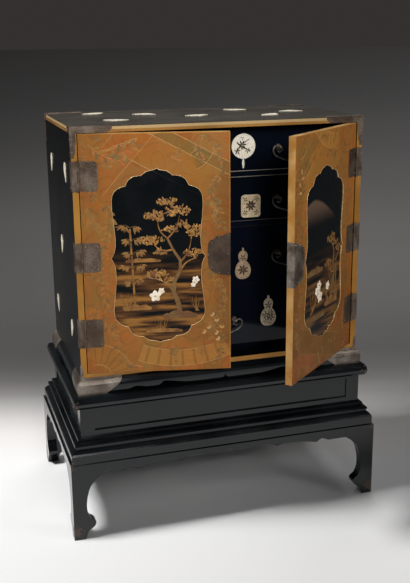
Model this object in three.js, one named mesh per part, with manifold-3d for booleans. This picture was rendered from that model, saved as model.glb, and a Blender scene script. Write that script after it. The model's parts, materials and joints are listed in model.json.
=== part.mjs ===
// A lacquered two-door cabinet with four drawers, standing on a low stand with bracket legs.
// Millimetres, +Z up, +X to the right as one faces the doors, which look along -Y.
// Everything is built about the middle of the stand. At the end the whole is set on the floor with the
// origin under its middle, the open doors included.

import * as THREE from 'three';
import { mergeVertices } from 'three/addons/utils/BufferGeometryUtils.js';
import Module from 'manifold-3d';

const wasm = await Module();
wasm.setup();

// Clearances and cutting
const overrun = 40;
const seatGap = 0.3;
const jointGap = 0.3;

// Cabinet case
const caseWidth = 600;
const caseDepth = 334;
const topThick = 12;
const sideThick = 12;
const bottomThick = 10;
const backThick = 8;
const dustThick = 9;
const arrisWidth = 1;

// Drawers, whose openings grow towards the bottom
const upperOpening = 94;
const thirdOpening = 121;
const bottomOpening = 140;
const frontRecess = 40;
const frontThick = 12;
const boxWall = 8;
const boxBottom = 6;
const drawerSideGap = 1;
const drawerTopGap = 1.2;
const drawerBackGap = 6;
const boxDrop = 8;

// Doors
const doorThick = 14;
const doorGap = 1;
const leftDoorAjar = 12.5;
const rightDoorOpen = 42;
const windowWidth = 184;
const windowHeight = 348;
const windowSink = 1.2;
const windowMiddleShare = 0.51;
const windowRise = 60;

// Hinges
const leafThick = 1;
const leafHeight = 58;
const leafReach = 36;
const leafRound = 8;
const leafWrap = 15;
const barrelRadius = 2.2;
const webReach = 4.4;
const webRise = 0.55;
const boreRadius = 1.3;
const pinRadius = 0.95;
const pinHeadRadius = 1.7;
const pinHeadHeight = 1.2;
const knuckleGap = 0.5;
const topHingeShare = 0.832;
const middleHingeShare = 0.5;
const lowHingeShare = 0.175;

// Lock plates and bolt
const lockWidth = 45;
const lockHeight = 86;
const lockHeightShare = 0.5;
const keyholeInset = 25;
const keyholeDrop = 17;
const keyholeRadius = 2.6;
const plateThick = 1;
const boltThick = 6;
const boltHeight = 5;
const boltLength = 13;
const boltTravel = 6;
const boltProud = 0.6;
const boltGap = 0.5;
const boltDrop = 30;
const strikeDepth = 8;

// Drawer handles
const bailWidth = 104;
const bailHeight = 29;
const bailRadius = 1.9;
const bailStand = 10.5;
const eyeHalfSpan = 36;
const eyeHole = 2.4;
const eyeRim = 1.8;
const eyeWidth = 3.4;
const shankRadius = 2;
const roseRadius = 6;
const roseThick = 1;
const twinBailOffset = 167;

// Carved plaques on the drawer fronts
const plaqueThick = 1.5;
const mirrorRadius = 25;
const mirrorHandle = 21;
const mirrorHandleWidth = 9;
const mirrorPlace = [55.5, 4.5];
const tilePlace = [72, -15.7];
const thirdGourdPlace = [55, -19.4];
const bottomGourdPlace = [112.5, 12.1];
const tileWidth = 42;
const tileHeight = 47;
const tileRound = 7;
const gourdHeight = 67;
const gourdWidth = 35;

// Inlays on the outside of the case
const inlayThick = 1;
const topInlayLong = 52;
const topInlayShort = 30;
const sideInlayTall = 40;
const sideInlayShort = 24;

// Metal mounts
const mountThick = 1;
const topMountReach = 80;
const topMountDrop = 58;
const topMountLeg = 10.5;
const topMountReturn = 28;
const topMountLip = 6;
const footMountReach = 82;
const footMountReturn = 74;
const footMountRise = 28;
const footMountLeaf = 5;

// Plinth under the case
const plinthHeight = 33;
const plinthSwell = 8.5;
const plinthThick = 13;
const plinthBracket = 92;

// Stand
const slabOverhang = 22;
const slabThick = 27;
const slabNose = 10;
const friezeInset = 14;
const friezeHeight = 62;
const friezeThick = 16;
const friezeStile = 29;
const friezeSink = 3;
const friezeBead = 3;
const friezeRail = 12;
const mouldingHeight = 49;
const mouldingOutset = 27.5;
const legHeight = 165;
const legThick = 21;
const legBracket = 68;
const apronThick = 19;
const apronDrop = 25;

// Levels and half sizes that follow from the driving dimensions
const slabTop = legHeight + mouldingHeight + friezeHeight + slabThick;
const slabFoot = slabTop - slabThick;
const friezeFoot = slabFoot - friezeHeight;
const caseFoot = slabTop + plinthHeight;
const openings = [upperOpening, upperOpening, thirdOpening, bottomOpening];
const openingSum = openings.reduce((sum, height) => sum + height, 0);
const openingFoot = caseFoot + bottomThick;
const openingHead = openingFoot + openingSum + dustThick * (openings.length - 1);
const caseHead = openingHead + topThick;
const caseHalf = caseWidth / 2;
const caseFront = -caseDepth / 2;
const caseBack = caseDepth / 2;
const innerHalf = caseHalf - sideThick;
const drawerFace = caseFront + frontRecess;
const friezeHalfWidth = caseHalf + slabOverhang - friezeInset;
const friezeHalfDepth = caseBack + slabOverhang - friezeInset;
const standHalfWidth = friezeHalfWidth + mouldingOutset;
const standHalfDepth = friezeHalfDepth + mouldingOutset;
const doorHeight = openingHead - openingFoot - 2 * doorGap;
const doorWidth = innerHalf - 1.5 * doorGap;
const hingeY = caseFront - leafThick - seatGap - barrelRadius + leafThick / 2;
const hingeX = innerHalf;

// Finishes
const blackLacquer = { color: 0x14171b, roughness: 0.22, metalness: 0 };
const innerLacquer = { color: 0x10151d, roughness: 0.2, metalness: 0 };
const goldLacquer = { color: 0xb98a42, roughness: 0.4, metalness: 0.45 };
const dullSilver = { color: 0x6e6258, roughness: 0.45, metalness: 0.85 };
const paleShell = { color: 0xe9dfc8, roughness: 0.35, metalness: 0 };
const bareWood = { color: 0x3a2416, roughness: 0.6, metalness: 0 };

const cabinet = new THREE.Group();

// Adds one named piece to a group.
function add(name, geometry, finish, group = cabinet) {
  geometry.computeVertexNormals();
  const mesh = new THREE.Mesh(geometry, new THREE.MeshStandardMaterial(finish));
  mesh.name = name;
  group.add(mesh);
  return mesh;
}

// Turns a closed geometry into a solid that can be cut and joined.
function solid(geometry) {
  const bare = geometry.clone();
  bare.deleteAttribute('normal');
  bare.deleteAttribute('uv');
  const merged = mergeVertices(bare);
  const mesh = new wasm.Mesh({
    numProp: 3,
    vertProperties: Float32Array.from(merged.attributes.position.array),
    triVerts: Uint32Array.from(merged.index.array),
  });
  return new wasm.Manifold(mesh);
}

// Turns a solid back into a geometry.
function shell(body) {
  const mesh = body.getMesh();
  const geometry = new THREE.BufferGeometry();
  geometry.setAttribute('position', new THREE.BufferAttribute(mesh.vertProperties, 3));
  geometry.setIndex(new THREE.BufferAttribute(mesh.triVerts, 1));
  return geometry;
}

// Joins several solids into one.
function joined(bodies) {
  return bodies.reduce((sum, body) => sum.add(body));
}

// A box between two corners.
function box(x0, x1, y0, y1, z0, z1) {
  const geometry = new THREE.BoxGeometry(x1 - x0, y1 - y0, z1 - z0);
  return geometry.translate((x0 + x1) / 2, (y0 + y1) / 2, (z0 + z1) / 2);
}

// A closed outline through points given as [across, up].
function outline(points) {
  return new THREE.Shape(points.map(([across, up]) => new THREE.Vector2(across, up)));
}

function extruded(shape, length, curveSegments) {
  return new THREE.ExtrudeGeometry(shape, { depth: length, bevelEnabled: false, curveSegments });
}

// An outline drawn in X and Y, between two heights.
function alongZ(shape, z0, z1, curveSegments = 6) {
  return extruded(shape, z1 - z0, curveSegments).translate(0, 0, z0);
}

// An outline drawn in X and Z, between two depths.
function alongY(shape, y0, y1, curveSegments = 6) {
  return extruded(shape, y1 - y0, curveSegments).rotateX(Math.PI / 2).translate(0, y1, 0);
}

// An outline drawn in Y and Z, between two places across the width.
function alongX(shape, x0, x1, curveSegments = 6) {
  const turn = new THREE.Matrix4().makeBasis(
    new THREE.Vector3(0, 1, 0),
    new THREE.Vector3(0, 0, 1),
    new THREE.Vector3(1, 0, 0),
  );
  return extruded(shape, x1 - x0, curveSegments).applyMatrix4(turn).translate(x0, 0, 0);
}

// The mirror image of a geometry, in X, in Y or in both.
function mirrored(geometry, xSign, ySign) {
  const copy = shell(solid(geometry)).scale(xSign, ySign, 1);
  if (xSign * ySign < 0) {
    const index = copy.index;
    for (let i = 0; i < index.count; i += 3) {
      const first = index.getX(i);
      index.setX(i, index.getX(i + 1));
      index.setX(i + 1, first);
    }
  }
  return copy;
}

const quadrants = [
  ['front_left', -1, 1],
  ['front_right', 1, 1],
  ['back_left', -1, -1],
  ['back_right', 1, -1],
];

// A block whose four sides all follow one profile of [outset, height] points, mitred at its corners.
function mouldedBlock(halfWidth, halfDepth, profile) {
  const section = (half) => outline([
    ...profile.map(([outset, height]) => [half + outset, height]),
    ...profile.map(([outset, height]) => [-half - outset, height]).reverse(),
  ]);
  const lengthwise = solid(alongY(section(halfWidth), -halfDepth - overrun, halfDepth + overrun));
  const crosswise = solid(alongX(section(halfDepth), -halfWidth - overrun, halfWidth + overrun));
  return lengthwise.intersect(crosswise);
}

// The four boards that a moulded block falls into when its inside is taken out and its corners are mitred.
function mitredBoards(block, innerHalfWidth, innerHalfDepth, z0, z1) {
  const slack = jointGap * Math.SQRT1_2;
  const across = (length, inner) => [
    [-length + slack, -inner],
    [-length - overrun + slack, -inner - overrun],
    [length + overrun - slack, -inner - overrun],
    [length - slack, -inner],
  ];
  const wedge = (points) => solid(alongZ(outline(points), z0 - overrun, z1 + overrun));
  const front = across(innerHalfWidth, innerHalfDepth);
  const right = across(innerHalfDepth, innerHalfWidth).map(([x, y]) => [-y, x]);
  return {
    front: block.intersect(wedge(front)),
    back: block.intersect(wedge(front.map(([x, y]) => [-x, -y]))),
    right: block.intersect(wedge(right)),
    left: block.intersect(wedge(right.map(([x, y]) => [-x, -y]))),
  };
}

// Smooth points along lobes that meet in cusps. Each lobe starts where the one before it ended.
function lobed(lobes, stepsPerSpan = 2) {
  const points = [lobes[0][0]];
  lobes.forEach((lobe, i) => {
    const path = i === 0 ? lobe : [points.at(-1), ...lobe];
    const curve = new THREE.SplineCurve(path.map(([across, up]) => new THREE.Vector2(across, up)));
    const spots = curve.getPoints(stepsPerSpan * (path.length - 1)).slice(1);
    points.push(...spots.map((spot) => [spot.x, spot.y]));
  });
  return points;
}

// Points given as shares, in real sizes from a starting place.
function sized(points, acrossSize, upSize, acrossFrom = 0, upFrom = 0) {
  return points.map(([across, up]) => [acrossFrom + acrossSize * across, upFrom + upSize * up]);
}

// An edge drawn from the middle outwards, mirrored, and closed along a straight line at one height.
function mirroredOutline(rightEdge, height) {
  const end = rightEdge.at(-1)[0];
  const leftEdge = rightEdge.slice(1).map(([across, up]) => [-across, up]).reverse();
  return outline([...leftEdge, ...rightEdge, [end, height], [-end, height]]);
}

// Both halves of a closed outline that is drawn on the right from its top to its foot.
function closedOutline(rightEdge) {
  const leftEdge = rightEdge.slice(1, -1).map(([across, up]) => [-across, up]).reverse();
  return outline([...rightEdge, ...leftEdge]);
}

// A rod or disc along Y, and a rod along Z.
function rodY(radius, y0, y1, sides) {
  return new THREE.CylinderGeometry(radius, radius, y1 - y0, sides).translate(0, (y0 + y1) / 2, 0);
}

function rodZ(radius, z0, z1, sides) {
  const rod = new THREE.CylinderGeometry(radius, radius, z1 - z0, sides);
  return rod.rotateX(Math.PI / 2).translate(0, 0, (z0 + z1) / 2);
}

// Stand: top board with a rounded edge all round
function standTop() {
  const noseSteps = 6;
  const middle = slabThick / 2;
  const profile = [];
  for (let i = 0; i <= noseSteps; i += 1) {
    const angle = Math.PI * (i / noseSteps - 0.5);
    profile.push([slabNose * (Math.cos(angle) - 1), slabFoot + middle + middle * Math.sin(angle)]);
  }
  const block = mouldedBlock(caseHalf + slabOverhang, caseBack + slabOverhang, profile);
  add('stand_top', shell(block), blackLacquer);
}

// Stand: four rails, each with a sunk panel and a bead along its foot, and below it the strip of a
// stepped moulding: two small noses over a large rounded shoulder
const mouldingShares = [
  [1, 0], [1, 0.1], [0.975, 0.22], [0.91, 0.34], [0.8, 0.45], [0.66, 0.54], [0.5, 0.6],
  [0.5, 0.64], [0.56, 0.67], [0.585, 0.72], [0.56, 0.77], [0.5, 0.8],
  [0.2, 0.81], [0.2, 0.84], [0.27, 0.87], [0.29, 0.92], [0.27, 0.97], [0.21, 1],
];

// The sunk panel of one rail, as seen on its face.
function sunkPanel(half, face, stile) {
  const foot = friezeFoot + friezeRail;
  const head = slabFoot - friezeRail / 2;
  const sunk = -face + friezeSink;
  const panel = solid(box(-half + stile, half - stile, -face - overrun, sunk, foot, head));
  const bead = new THREE.Shape();
  bead.moveTo(sunk + friezeBead / 2, foot - friezeBead / 2);
  bead.lineTo(sunk, foot - friezeBead / 2);
  bead.absarc(sunk, foot + friezeBead / 2, friezeBead / 2, -Math.PI / 2, -Math.PI * 1.5, true);
  bead.lineTo(sunk + friezeBead / 2, foot + friezeBead);
  const strip = solid(alongX(bead, -half + stile / 2, half - stile / 2, 4));
  return panel.subtract(strip);
}

function turned(body, quarters) {
  return solid(shell(body).rotateZ((Math.PI / 2) * quarters));
}

function standRails() {
  const profile = [
    ...sized(mouldingShares, mouldingOutset, mouldingHeight, 0, legHeight),
    [0, friezeFoot],
    [0, slabFoot],
  ];
  const block = mouldedBlock(friezeHalfWidth, friezeHalfDepth, profile);
  const front = sunkPanel(friezeHalfWidth, friezeHalfDepth, friezeStile);
  const side = sunkPanel(friezeHalfDepth, friezeHalfWidth, friezeStile);
  const panels = [front, turned(front, 2), turned(side, 1), turned(side, 3)];
  const carved = panels.reduce((body, panel) => body.subtract(panel), block);
  const innerHalfWidth = friezeHalfWidth - friezeThick;
  const innerHalfDepth = friezeHalfDepth - friezeThick;
  const boards = mitredBoards(carved, innerHalfWidth, innerHalfDepth, legHeight, slabFoot);
  for (const [place, board] of Object.entries(boards)) {
    add(`stand_rail_${place}`, shell(board), blackLacquer);
  }
}

// Stand: bracket legs. Each is two boards at a corner with the same scrolled outline,
// a bracket that sweeps down to an inward point, a waist and an outward hoof.
const legShares = [
  [
    [0, 0.872], [0.096, 0.848], [0.228, 0.809], [0.346, 0.758], [0.449, 0.703], [0.537, 0.594],
    [0.581, 0.473], [0.566, 0.364], [0.493, 0.285], [0.39, 0.252], [0.324, 0.224],
  ],
  [[0.338, 0.182], [0.419, 0.145], [0.537, 0.112]],
  [[0.596, 0.073], [0.64, 0.018], [0.654, 0]],
];

function legOutline(half) {
  const edge = sized(lobed(legShares), legBracket, legHeight, half - legBracket);
  return outline([[half - legBracket, legHeight], ...edge, [half, 0], [half, legHeight]]);
}

function standLegs() {
  const front = solid(alongY(legOutline(standHalfWidth), -standHalfDepth, -standHalfDepth + legThick));
  const side = solid(alongX(legOutline(standHalfDepth), -standHalfWidth, -standHalfWidth + legThick));
  const leg = shell(front.add(turned(side, 2)));
  for (const [place, xSign, ySign] of quadrants) {
    add(`leg_${place}`, mirrored(leg, xSign, ySign), blackLacquer);
  }
}

// Stand: aprons with a cusped lower edge, drawn from the middle outwards
const frontApronShares = [
  [[0, 0.64], [0.035, 0.44], [0.1, 0.37], [0.18, 0.43], [0.26, 0.56], [0.335, 0.53], [0.405, 0.26]],
  [[0.45, 0.37], [0.515, 0.4], [0.6, 0.35], [0.68, 0.22], [0.745, 0.08]],
  [[0.77, 0.26], [0.795, 0.36], [0.82, 0.27], [0.85, 0.13]],
  [[0.91, 0.15], [1, 0.14]],
];
const sideApronShares = [
  [[0, 0.64], [0.06, 0.44], [0.2, 0.38], [0.36, 0.5], [0.5, 0.5], [0.62, 0.12]],
  [[0.68, 0.3], [0.76, 0.34], [0.84, 0.17]],
  [[0.92, 0.16], [1, 0.14]],
];

function apronOutline(half, shares) {
  const inner = half - legBracket - jointGap;
  return mirroredOutline(sized(lobed(shares), inner, apronDrop, 0, legHeight - apronDrop), legHeight);
}

function standAprons() {
  const frontShape = apronOutline(standHalfWidth, frontApronShares);
  const sideShape = apronOutline(standHalfDepth, sideApronShares);
  const front = alongY(frontShape, -standHalfDepth, -standHalfDepth + apronThick);
  const side = alongX(sideShape, -standHalfWidth, -standHalfWidth + apronThick);
  add('apron_front', shell(solid(front)), blackLacquer);
  add('apron_back', shell(solid(front.clone().rotateZ(Math.PI))), blackLacquer);
  add('apron_left', shell(solid(side)), blackLacquer);
  add('apron_right', shell(solid(side.clone().rotateZ(Math.PI))), blackLacquer);
}

// Case: boards round the drawers. The top is laid over the sides, and the top and sides carry inlays.
function caseBoards() {
  const topProfile = [[0, openingHead], [0, caseHead - arrisWidth], [-arrisWidth, caseHead]];
  const top = joined([mouldedBlock(caseHalf, caseBack, topProfile), ...topInlays()]);
  const rightBoard = solid(box(innerHalf, caseHalf, caseFront, caseBack, caseFoot, openingHead));
  const right = shell(joined([rightBoard, ...sideInlays()]));
  add('case_top', shell(top), blackLacquer);
  add('case_right', right, blackLacquer);
  add('case_left', mirrored(right, -1, 1), blackLacquer);
  add('case_bottom', box(-innerHalf, innerHalf, caseFront, caseBack, caseFoot, openingFoot), blackLacquer);
  const backFace = caseBack - backThick;
  add('case_back', box(-innerHalf, innerHalf, backFace, caseBack, openingFoot, openingHead), blackLacquer);
}

// The foot of every drawer opening, from the top drawer down
const openingFeet = openings.map((height, i) => {
  const above = openings.slice(0, i + 1).reduce((sum, size) => sum + size, 0);
  return openingHead - above - dustThick * i;
});

function dustBoards() {
  const backFace = caseBack - backThick;
  openingFeet.slice(0, -1).forEach((foot, i) => {
    const board = box(-innerHalf, innerHalf, drawerFace, backFace, foot - dustThick, foot);
    add(`dust_board_${i + 1}`, board, innerLacquer);
  });
}

// Case: swelling plinth with a cusped lower edge in front and at the sides
const plinthSwellShares = [
  [0.87, 0], [0.97, 0.15], [1, 0.3], [0.97, 0.47], [0.86, 0.63], [0.66, 0.77], [0.4, 0.88], [0.12, 0.96], [0, 1],
];
const plinthEdgeShares = [
  [
    [0, 0.34], [0.024, 0.14], [0.087, 0.06], [0.216, 0.07], [0.385, 0.15], [0.538, 0.3], [0.625, 0.39],
    [0.659, 0.27], [0.692, 0.115],
  ],
  [[0.74, 0.076], [0.83, 0.17], [0.913, 0.27], [0.976, 0.15], [1, 0]],
];

function plinthCut(half) {
  const edge = sized(lobed(plinthEdgeShares), half, plinthHeight, 0, slabTop);
  return mirroredOutline(edge, slabTop - overrun);
}

function plinth() {
  const profile = sized(plinthSwellShares, plinthSwell, plinthHeight, 0, slabTop);
  const block = mouldedBlock(caseHalf, caseBack, profile);
  const frontCut = solid(alongY(plinthCut(caseHalf - plinthBracket), caseFront - overrun, 0));
  const sideShape = plinthCut(caseBack - plinthBracket);
  const sideCut = solid(alongX(sideShape, -caseHalf - overrun, caseHalf + overrun));
  const cutBlock = block.subtract(frontCut).subtract(sideCut);
  const innerHalfWidth = caseHalf - plinthThick;
  const innerHalfDepth = caseBack - plinthThick;
  const boards = mitredBoards(cutBlock, innerHalfWidth, innerHalfDepth, slabTop, caseFoot);
  for (const [place, board] of Object.entries(boards)) {
    add(`plinth_${place}`, shell(board), blackLacquer);
  }
}

// Case: thin mounts over its top corners. Each has an arm along the edge and a leg down the corner.
const mountArmShares = [[[1, 0], [1, 0.4], [0.94, 0.72]], [[0.9, 0.8], [0.87, 1]]];
const mountLegShares = [
  [[1, 0.22], [1, 0.55], [0.78, 0.66]],
  [[0.86, 0.74], [0.72, 0.86], [0.4, 0.95], [0, 1]],
];

// The outline of one face of a top mount, measured inwards and down from the corner of the case.
function topMountFace(corner, reach, leg) {
  const arm = sized(lobed(mountArmShares, 1), -reach, -topThick, corner, caseHead);
  const foot = sized(lobed(mountLegShares, 1), -leg, -topMountDrop, corner, caseHead);
  const innerCorner = [corner - leg, openingHead];
  const outside = corner + overrun;
  const lowest = foot.at(-1)[1];
  return outline([[corner - reach, caseHead + overrun], ...arm, innerCorner, ...foot.slice(1),
    [outside, lowest], [outside, caseHead + overrun]]);
}

// A mount is wrapped over the front or back edge of the top and over its side edge.
function topMounts() {
  const outer = solid(box(0, caseHalf + mountThick, caseFront - mountThick, 0, caseFoot, caseHead + mountThick));
  const inner = solid(box(-overrun, caseHalf, caseFront, overrun, caseFoot - overrun, caseHead));
  const front = solid(alongY(
    topMountFace(caseHalf, topMountReach, topMountLeg),
    caseFront - overrun,
    caseFront + topMountLip,
  ));
  const side = turned(solid(alongX(
    topMountFace(caseBack, topMountReturn, topMountLeg / 2),
    -caseHalf - overrun,
    -caseHalf + topMountLip,
  )), 2);
  const mount = shell(outer.subtract(inner).intersect(front.add(side)));
  for (const [place, xSign, ySign] of quadrants) {
    add(`top_mount_${place}`, mirrored(mount, xSign, ySign), dullSilver);
  }
}

// Case: mounts over the corners of the plinth. Each shell follows the swell,
// laps onto the case above it, and ends in a slender leaf up the corner.
const footEndShares = [[[0.6, 0], [0.64, 0.12], [0.74, 0.3], [0.88, 0.5], [0.96, 0.75], [1, 1]]];
const footLeafShares = [[[1, 0], [0.9, 0.5], [0.55, 0.85], [0, 1]]];

function footMountFace(corner, reach) {
  const end = sized(lobed(footEndShares, 1), -reach, plinthHeight, corner, slabTop);
  const lap = caseFoot + seatGap + mountThick;
  const leaf = sized(lobed(footLeafShares, 1), -footMountLeaf, footMountRise, corner, lap);
  const outside = corner + overrun;
  return outline([...end, [corner - reach, lap], ...leaf, [outside, leaf.at(-1)[1]],
    [outside, slabTop]]);
}

function footMounts() {
  const lap = caseFoot + seatGap + mountThick;
  const shellProfile = (offset) =>
    sized(plinthSwellShares, plinthSwell, plinthHeight, offset, slabTop);
  const outer = mouldedBlock(caseHalf, caseBack, [
    ...shellProfile(seatGap + mountThick),
    [seatGap + mountThick, lap],
    [mountThick, lap],
    [mountThick, lap + overrun],
  ]);
  const innerShell = shellProfile(seatGap);
  const inner = mouldedBlock(caseHalf, caseBack, [
    [innerShell[0][0], slabTop - overrun],
    ...innerShell,
    [seatGap, caseFoot + seatGap],
    [0, caseFoot + seatGap],
    [0, lap + overrun * 2],
  ]);
  const front = solid(alongY(footMountFace(caseHalf, footMountReach), caseFront - overrun, caseFront));
  const side = turned(solid(alongX(
    footMountFace(caseBack, footMountReturn),
    -caseHalf - overrun,
    -caseHalf,
  )), 2);
  const corner = solid(box(0, caseHalf + overrun, caseFront - overrun, 0, slabTop, caseHead));
  const mount = shell(outer.subtract(inner).intersect(front.add(side)).intersect(corner));
  for (const [place, xSign, ySign] of quadrants) {
    add(`foot_mount_${place}`, mirrored(mount, xSign, ySign), dullSilver);
  }
}

// Doors. Each is drawn in its own group, whose origin lies on the hinge axis at floor level.
// Along is measured from the hinge axis to the free edge, on the left door to the right.
const doorFace = caseFront - hingeY;
const doorFoot = openingFoot + doorGap;
const doorHead = doorFoot + doorHeight;
const doorEnd = doorGap + doorWidth;

// The sunk window: a tall lobed cartouche, stepped at its shoulders and pointed at its waist
const windowShares = [
  [[0, 1], [0.07, 0.9905], [0.22, 0.982], [0.324, 0.9606]],
  [[0.47, 0.957], [0.6, 0.936], [0.659, 0.904]],
  [[0.82, 0.89], [0.935, 0.853], [0.951, 0.77], [0.897, 0.612], [0.93, 0.535], [1, 0.5]],
  [[0.925, 0.457], [0.91, 0.36], [0.979, 0.196], [0.93, 0.139], [0.8, 0.107], [0.682, 0.0972]],
  [[0.63, 0.064], [0.5, 0.042], [0.351, 0.0374]],
  [[0.25, 0.016], [0.06, 0.007], [0, 0]],
];

function windowOutline(middle, foot) {
  const right = sized(lobed(windowShares), windowWidth / 2, windowHeight, 0, foot);
  const left = right.slice(1, -1).map(([across, up]) => [-across, up]).reverse();
  return outline([...right, ...left].map(([across, up]) => [across + middle, up]));
}

// The block of a left door with its window, its pockets and the leaves of its hinges.
function doorBlock(pockets, leaves) {
  const block = solid(box(doorGap, doorEnd, doorFace, doorFace + doorThick, doorFoot, doorHead));
  const middle = doorGap + doorWidth * windowMiddleShare;
  const cut = alongY(windowOutline(middle, doorFoot + windowRise), doorFace - overrun, doorFace + windowSink);
  const carved = pockets.reduce((body, pocket) => body.subtract(pocket), block.subtract(solid(cut)));
  return joined([carved, ...leaves]);
}

// Hinges. The case leaf is wrapped round the corner of the case and holds the pin in its two outer
// knuckles. The door leaf lies on the door and turns on the pin with its middle knuckle.
const knuckleHeight = (leafHeight - 2 * knuckleGap) / 3;

// The case leaf of a left hinge with its pin, about the hinge axis, its foot at zero.
function caseLeaf() {
  const stile = caseHalf - innerHalf;
  const face = doorFace - leafThick;
  const plate = box(-stile, 0, face, doorFace, 0, leafHeight);
  const wrapped = box(-stile - leafThick, -stile, face, doorFace + leafWrap, 0, leafHeight);
  const ends = [[0, knuckleHeight], [leafHeight - knuckleHeight, leafHeight]];
  const webs = ends.map(([z0, z1]) => box(-webReach, 0, -webRise, face + leafThick / 2, z0, z1));
  const rings = ends.map(([z0, z1]) => rodZ(barrelRadius, z0, z1, 10));
  const caps = [
    rodZ(pinHeadRadius, -pinHeadHeight, 0, 8),
    rodZ(pinHeadRadius, leafHeight, leafHeight + pinHeadHeight, 8),
  ];
  const middle = solid(rodZ(barrelRadius + 2 * seatGap, knuckleHeight, leafHeight - knuckleHeight, 10));
  const outside = joined([plate, wrapped, ...webs, ...rings, ...caps].map(solid)).subtract(middle);
  return outside.add(solid(rodZ(pinRadius, -pinHeadHeight / 2, leafHeight + pinHeadHeight / 2, 8)));
}

// The door leaf of a left hinge, its free corners rounded, let into the face of the door.
function doorLeaf() {
  const start = barrelRadius + knuckleGap;
  const face = new THREE.Shape();
  face.moveTo(start, 0);
  face.lineTo(leafReach - leafRound, 0);
  face.absarc(leafReach - leafRound, leafRound, leafRound, -Math.PI / 2, 0, false);
  face.absarc(leafReach - leafRound, leafHeight - leafRound, leafRound, 0, Math.PI / 2, false);
  face.lineTo(start, leafHeight);
  const front = doorFace - leafThick;
  const plate = solid(alongY(face, front, doorFace + leafThick, 3));
  const z0 = knuckleHeight + knuckleGap;
  const z1 = leafHeight - z0;
  const web = solid(box(0, start + leafThick, front - leafThick, front + leafThick / 2, z0, z1));
  const ring = solid(rodZ(barrelRadius, z0, z1, 10));
  const bore = solid(rodZ(boreRadius, -overrun, leafHeight + overrun, 8));
  return joined([plate, web, ring]).subtract(bore);
}

// The feet of the three leaves on each door
const leafFeet = [topHingeShare, middleHingeShare, lowHingeShare]
  .map((share) => doorFoot + doorHeight * share - leafHeight / 2);

function hingesOnCase() {
  const leaf = shell(caseLeaf());
  for (const [sideName, side] of [['left', -1], ['right', 1]]) {
    ['top', 'middle', 'low'].forEach((level, i) => {
      const placed = mirrored(leaf, -side, 1).translate(side * hingeX, hingeY, leafFeet[i]);
      add(`hinge_${sideName}_${level}`, placed, dullSilver);
    });
  }
}

// Lock plates: a flat plate on each door, lobed on the side away from the free edge
const lockShares = [
  [[0, 0.5], [0.17, 0.475], [0.35, 0.43]],
  [[0.56, 0.425], [0.76, 0.345]],
  [[0.94, 0.29], [1, 0], [0.95, -0.29]],
  [[0.88, -0.35], [0.64, -0.44], [0.42, -0.465]],
  [[0.2, -0.49], [0, -0.5]],
];
const lockMiddle = doorFoot + doorHeight * lockHeightShare;
const lockSeat = doorFace - seatGap;
const boltMiddle = lockMiddle - boltDrop;
const boltY = doorFace + doorThick / 2;

function lockPlate() {
  const edge = sized(lobed(lockShares), -lockWidth, lockHeight, doorEnd, lockMiddle);
  return solid(alongY(outline(edge), lockSeat - plateThick, lockSeat));
}

function keyhole() {
  const round = rodY(keyholeRadius, lockSeat - overrun, lockSeat + overrun, 10);
  const slotHalf = keyholeRadius / 2;
  const slot = box(-slotHalf, slotHalf, lockSeat - overrun, lockSeat + overrun, -keyholeRadius * 3, 0);
  const hole = solid(round).add(solid(slot));
  return solid(shell(hole).translate(doorEnd - keyholeInset, 0, lockMiddle - keyholeDrop));
}

// A hole for the bolt, reaching in from the free edge of a door.
function boltHole(depth, gap) {
  const halfY = boltThick / 2 + gap;
  const halfZ = boltHeight / 2 + gap;
  return solid(box(doorEnd - depth, doorEnd + overrun, boltY - halfY, boltY + halfY,
    boltMiddle - halfZ, boltMiddle + halfZ));
}

// The right lock plate turns round the free edge, where it lies flush in a shallow pocket.
function edgePocket() {
  const half = lockHeight / 2 + seatGap;
  return solid(box(doorEnd - plateThick - seatGap, doorEnd + overrun, doorFace - overrun, doorFace + doorThick,
    lockMiddle - half, lockMiddle + half));
}

function wrappedLockPlate() {
  const half = lockHeight / 2;
  const flange = solid(box(doorEnd - plateThick, doorEnd, lockSeat - plateThick, doorFace + doorThick,
    lockMiddle - half, lockMiddle + half));
  return lockPlate().add(flange).subtract(keyhole()).subtract(boltHole(boltLength, boltGap));
}

function lockBolt() {
  const end = doorEnd + boltProud;
  return box(end - boltLength, end, boltY - boltThick / 2, boltY + boltThick / 2,
    boltMiddle - boltHeight / 2, boltMiddle + boltHeight / 2);
}

function doors() {
  const right = (geometry) => mirrored(geometry, -1, 1);
  const leftGroup = new THREE.Group();
  leftGroup.position.set(-hingeX, hingeY, 0);
  leftGroup.rotation.z = -THREE.MathUtils.degToRad(leftDoorAjar);
  const rightGroup = new THREE.Group();
  rightGroup.position.set(hingeX, hingeY, 0);
  rightGroup.rotation.z = THREE.MathUtils.degToRad(rightDoorOpen);
  cabinet.add(leftGroup, rightGroup);

  const leaves = leafFeet.map((foot) => solid(shell(doorLeaf()).translate(0, 0, foot)));
  const leftDoor = doorBlock([boltHole(strikeDepth, boltGap)], leaves);
  const rightPockets = [edgePocket(), boltHole(boltLength + boltGap, boltGap)];
  const rightDoor = doorBlock(rightPockets, leaves);
  add('left_door', shell(leftDoor), goldLacquer, leftGroup);
  add('right_door', right(shell(rightDoor)), goldLacquer, rightGroup);
  add('left_lock_plate', shell(lockPlate()), dullSilver, leftGroup);
  add('right_lock_plate', right(shell(wrappedLockPlate())), dullSilver, rightGroup);
  add('lock_bolt', right(lockBolt()), paleShell, rightGroup);
}

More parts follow.
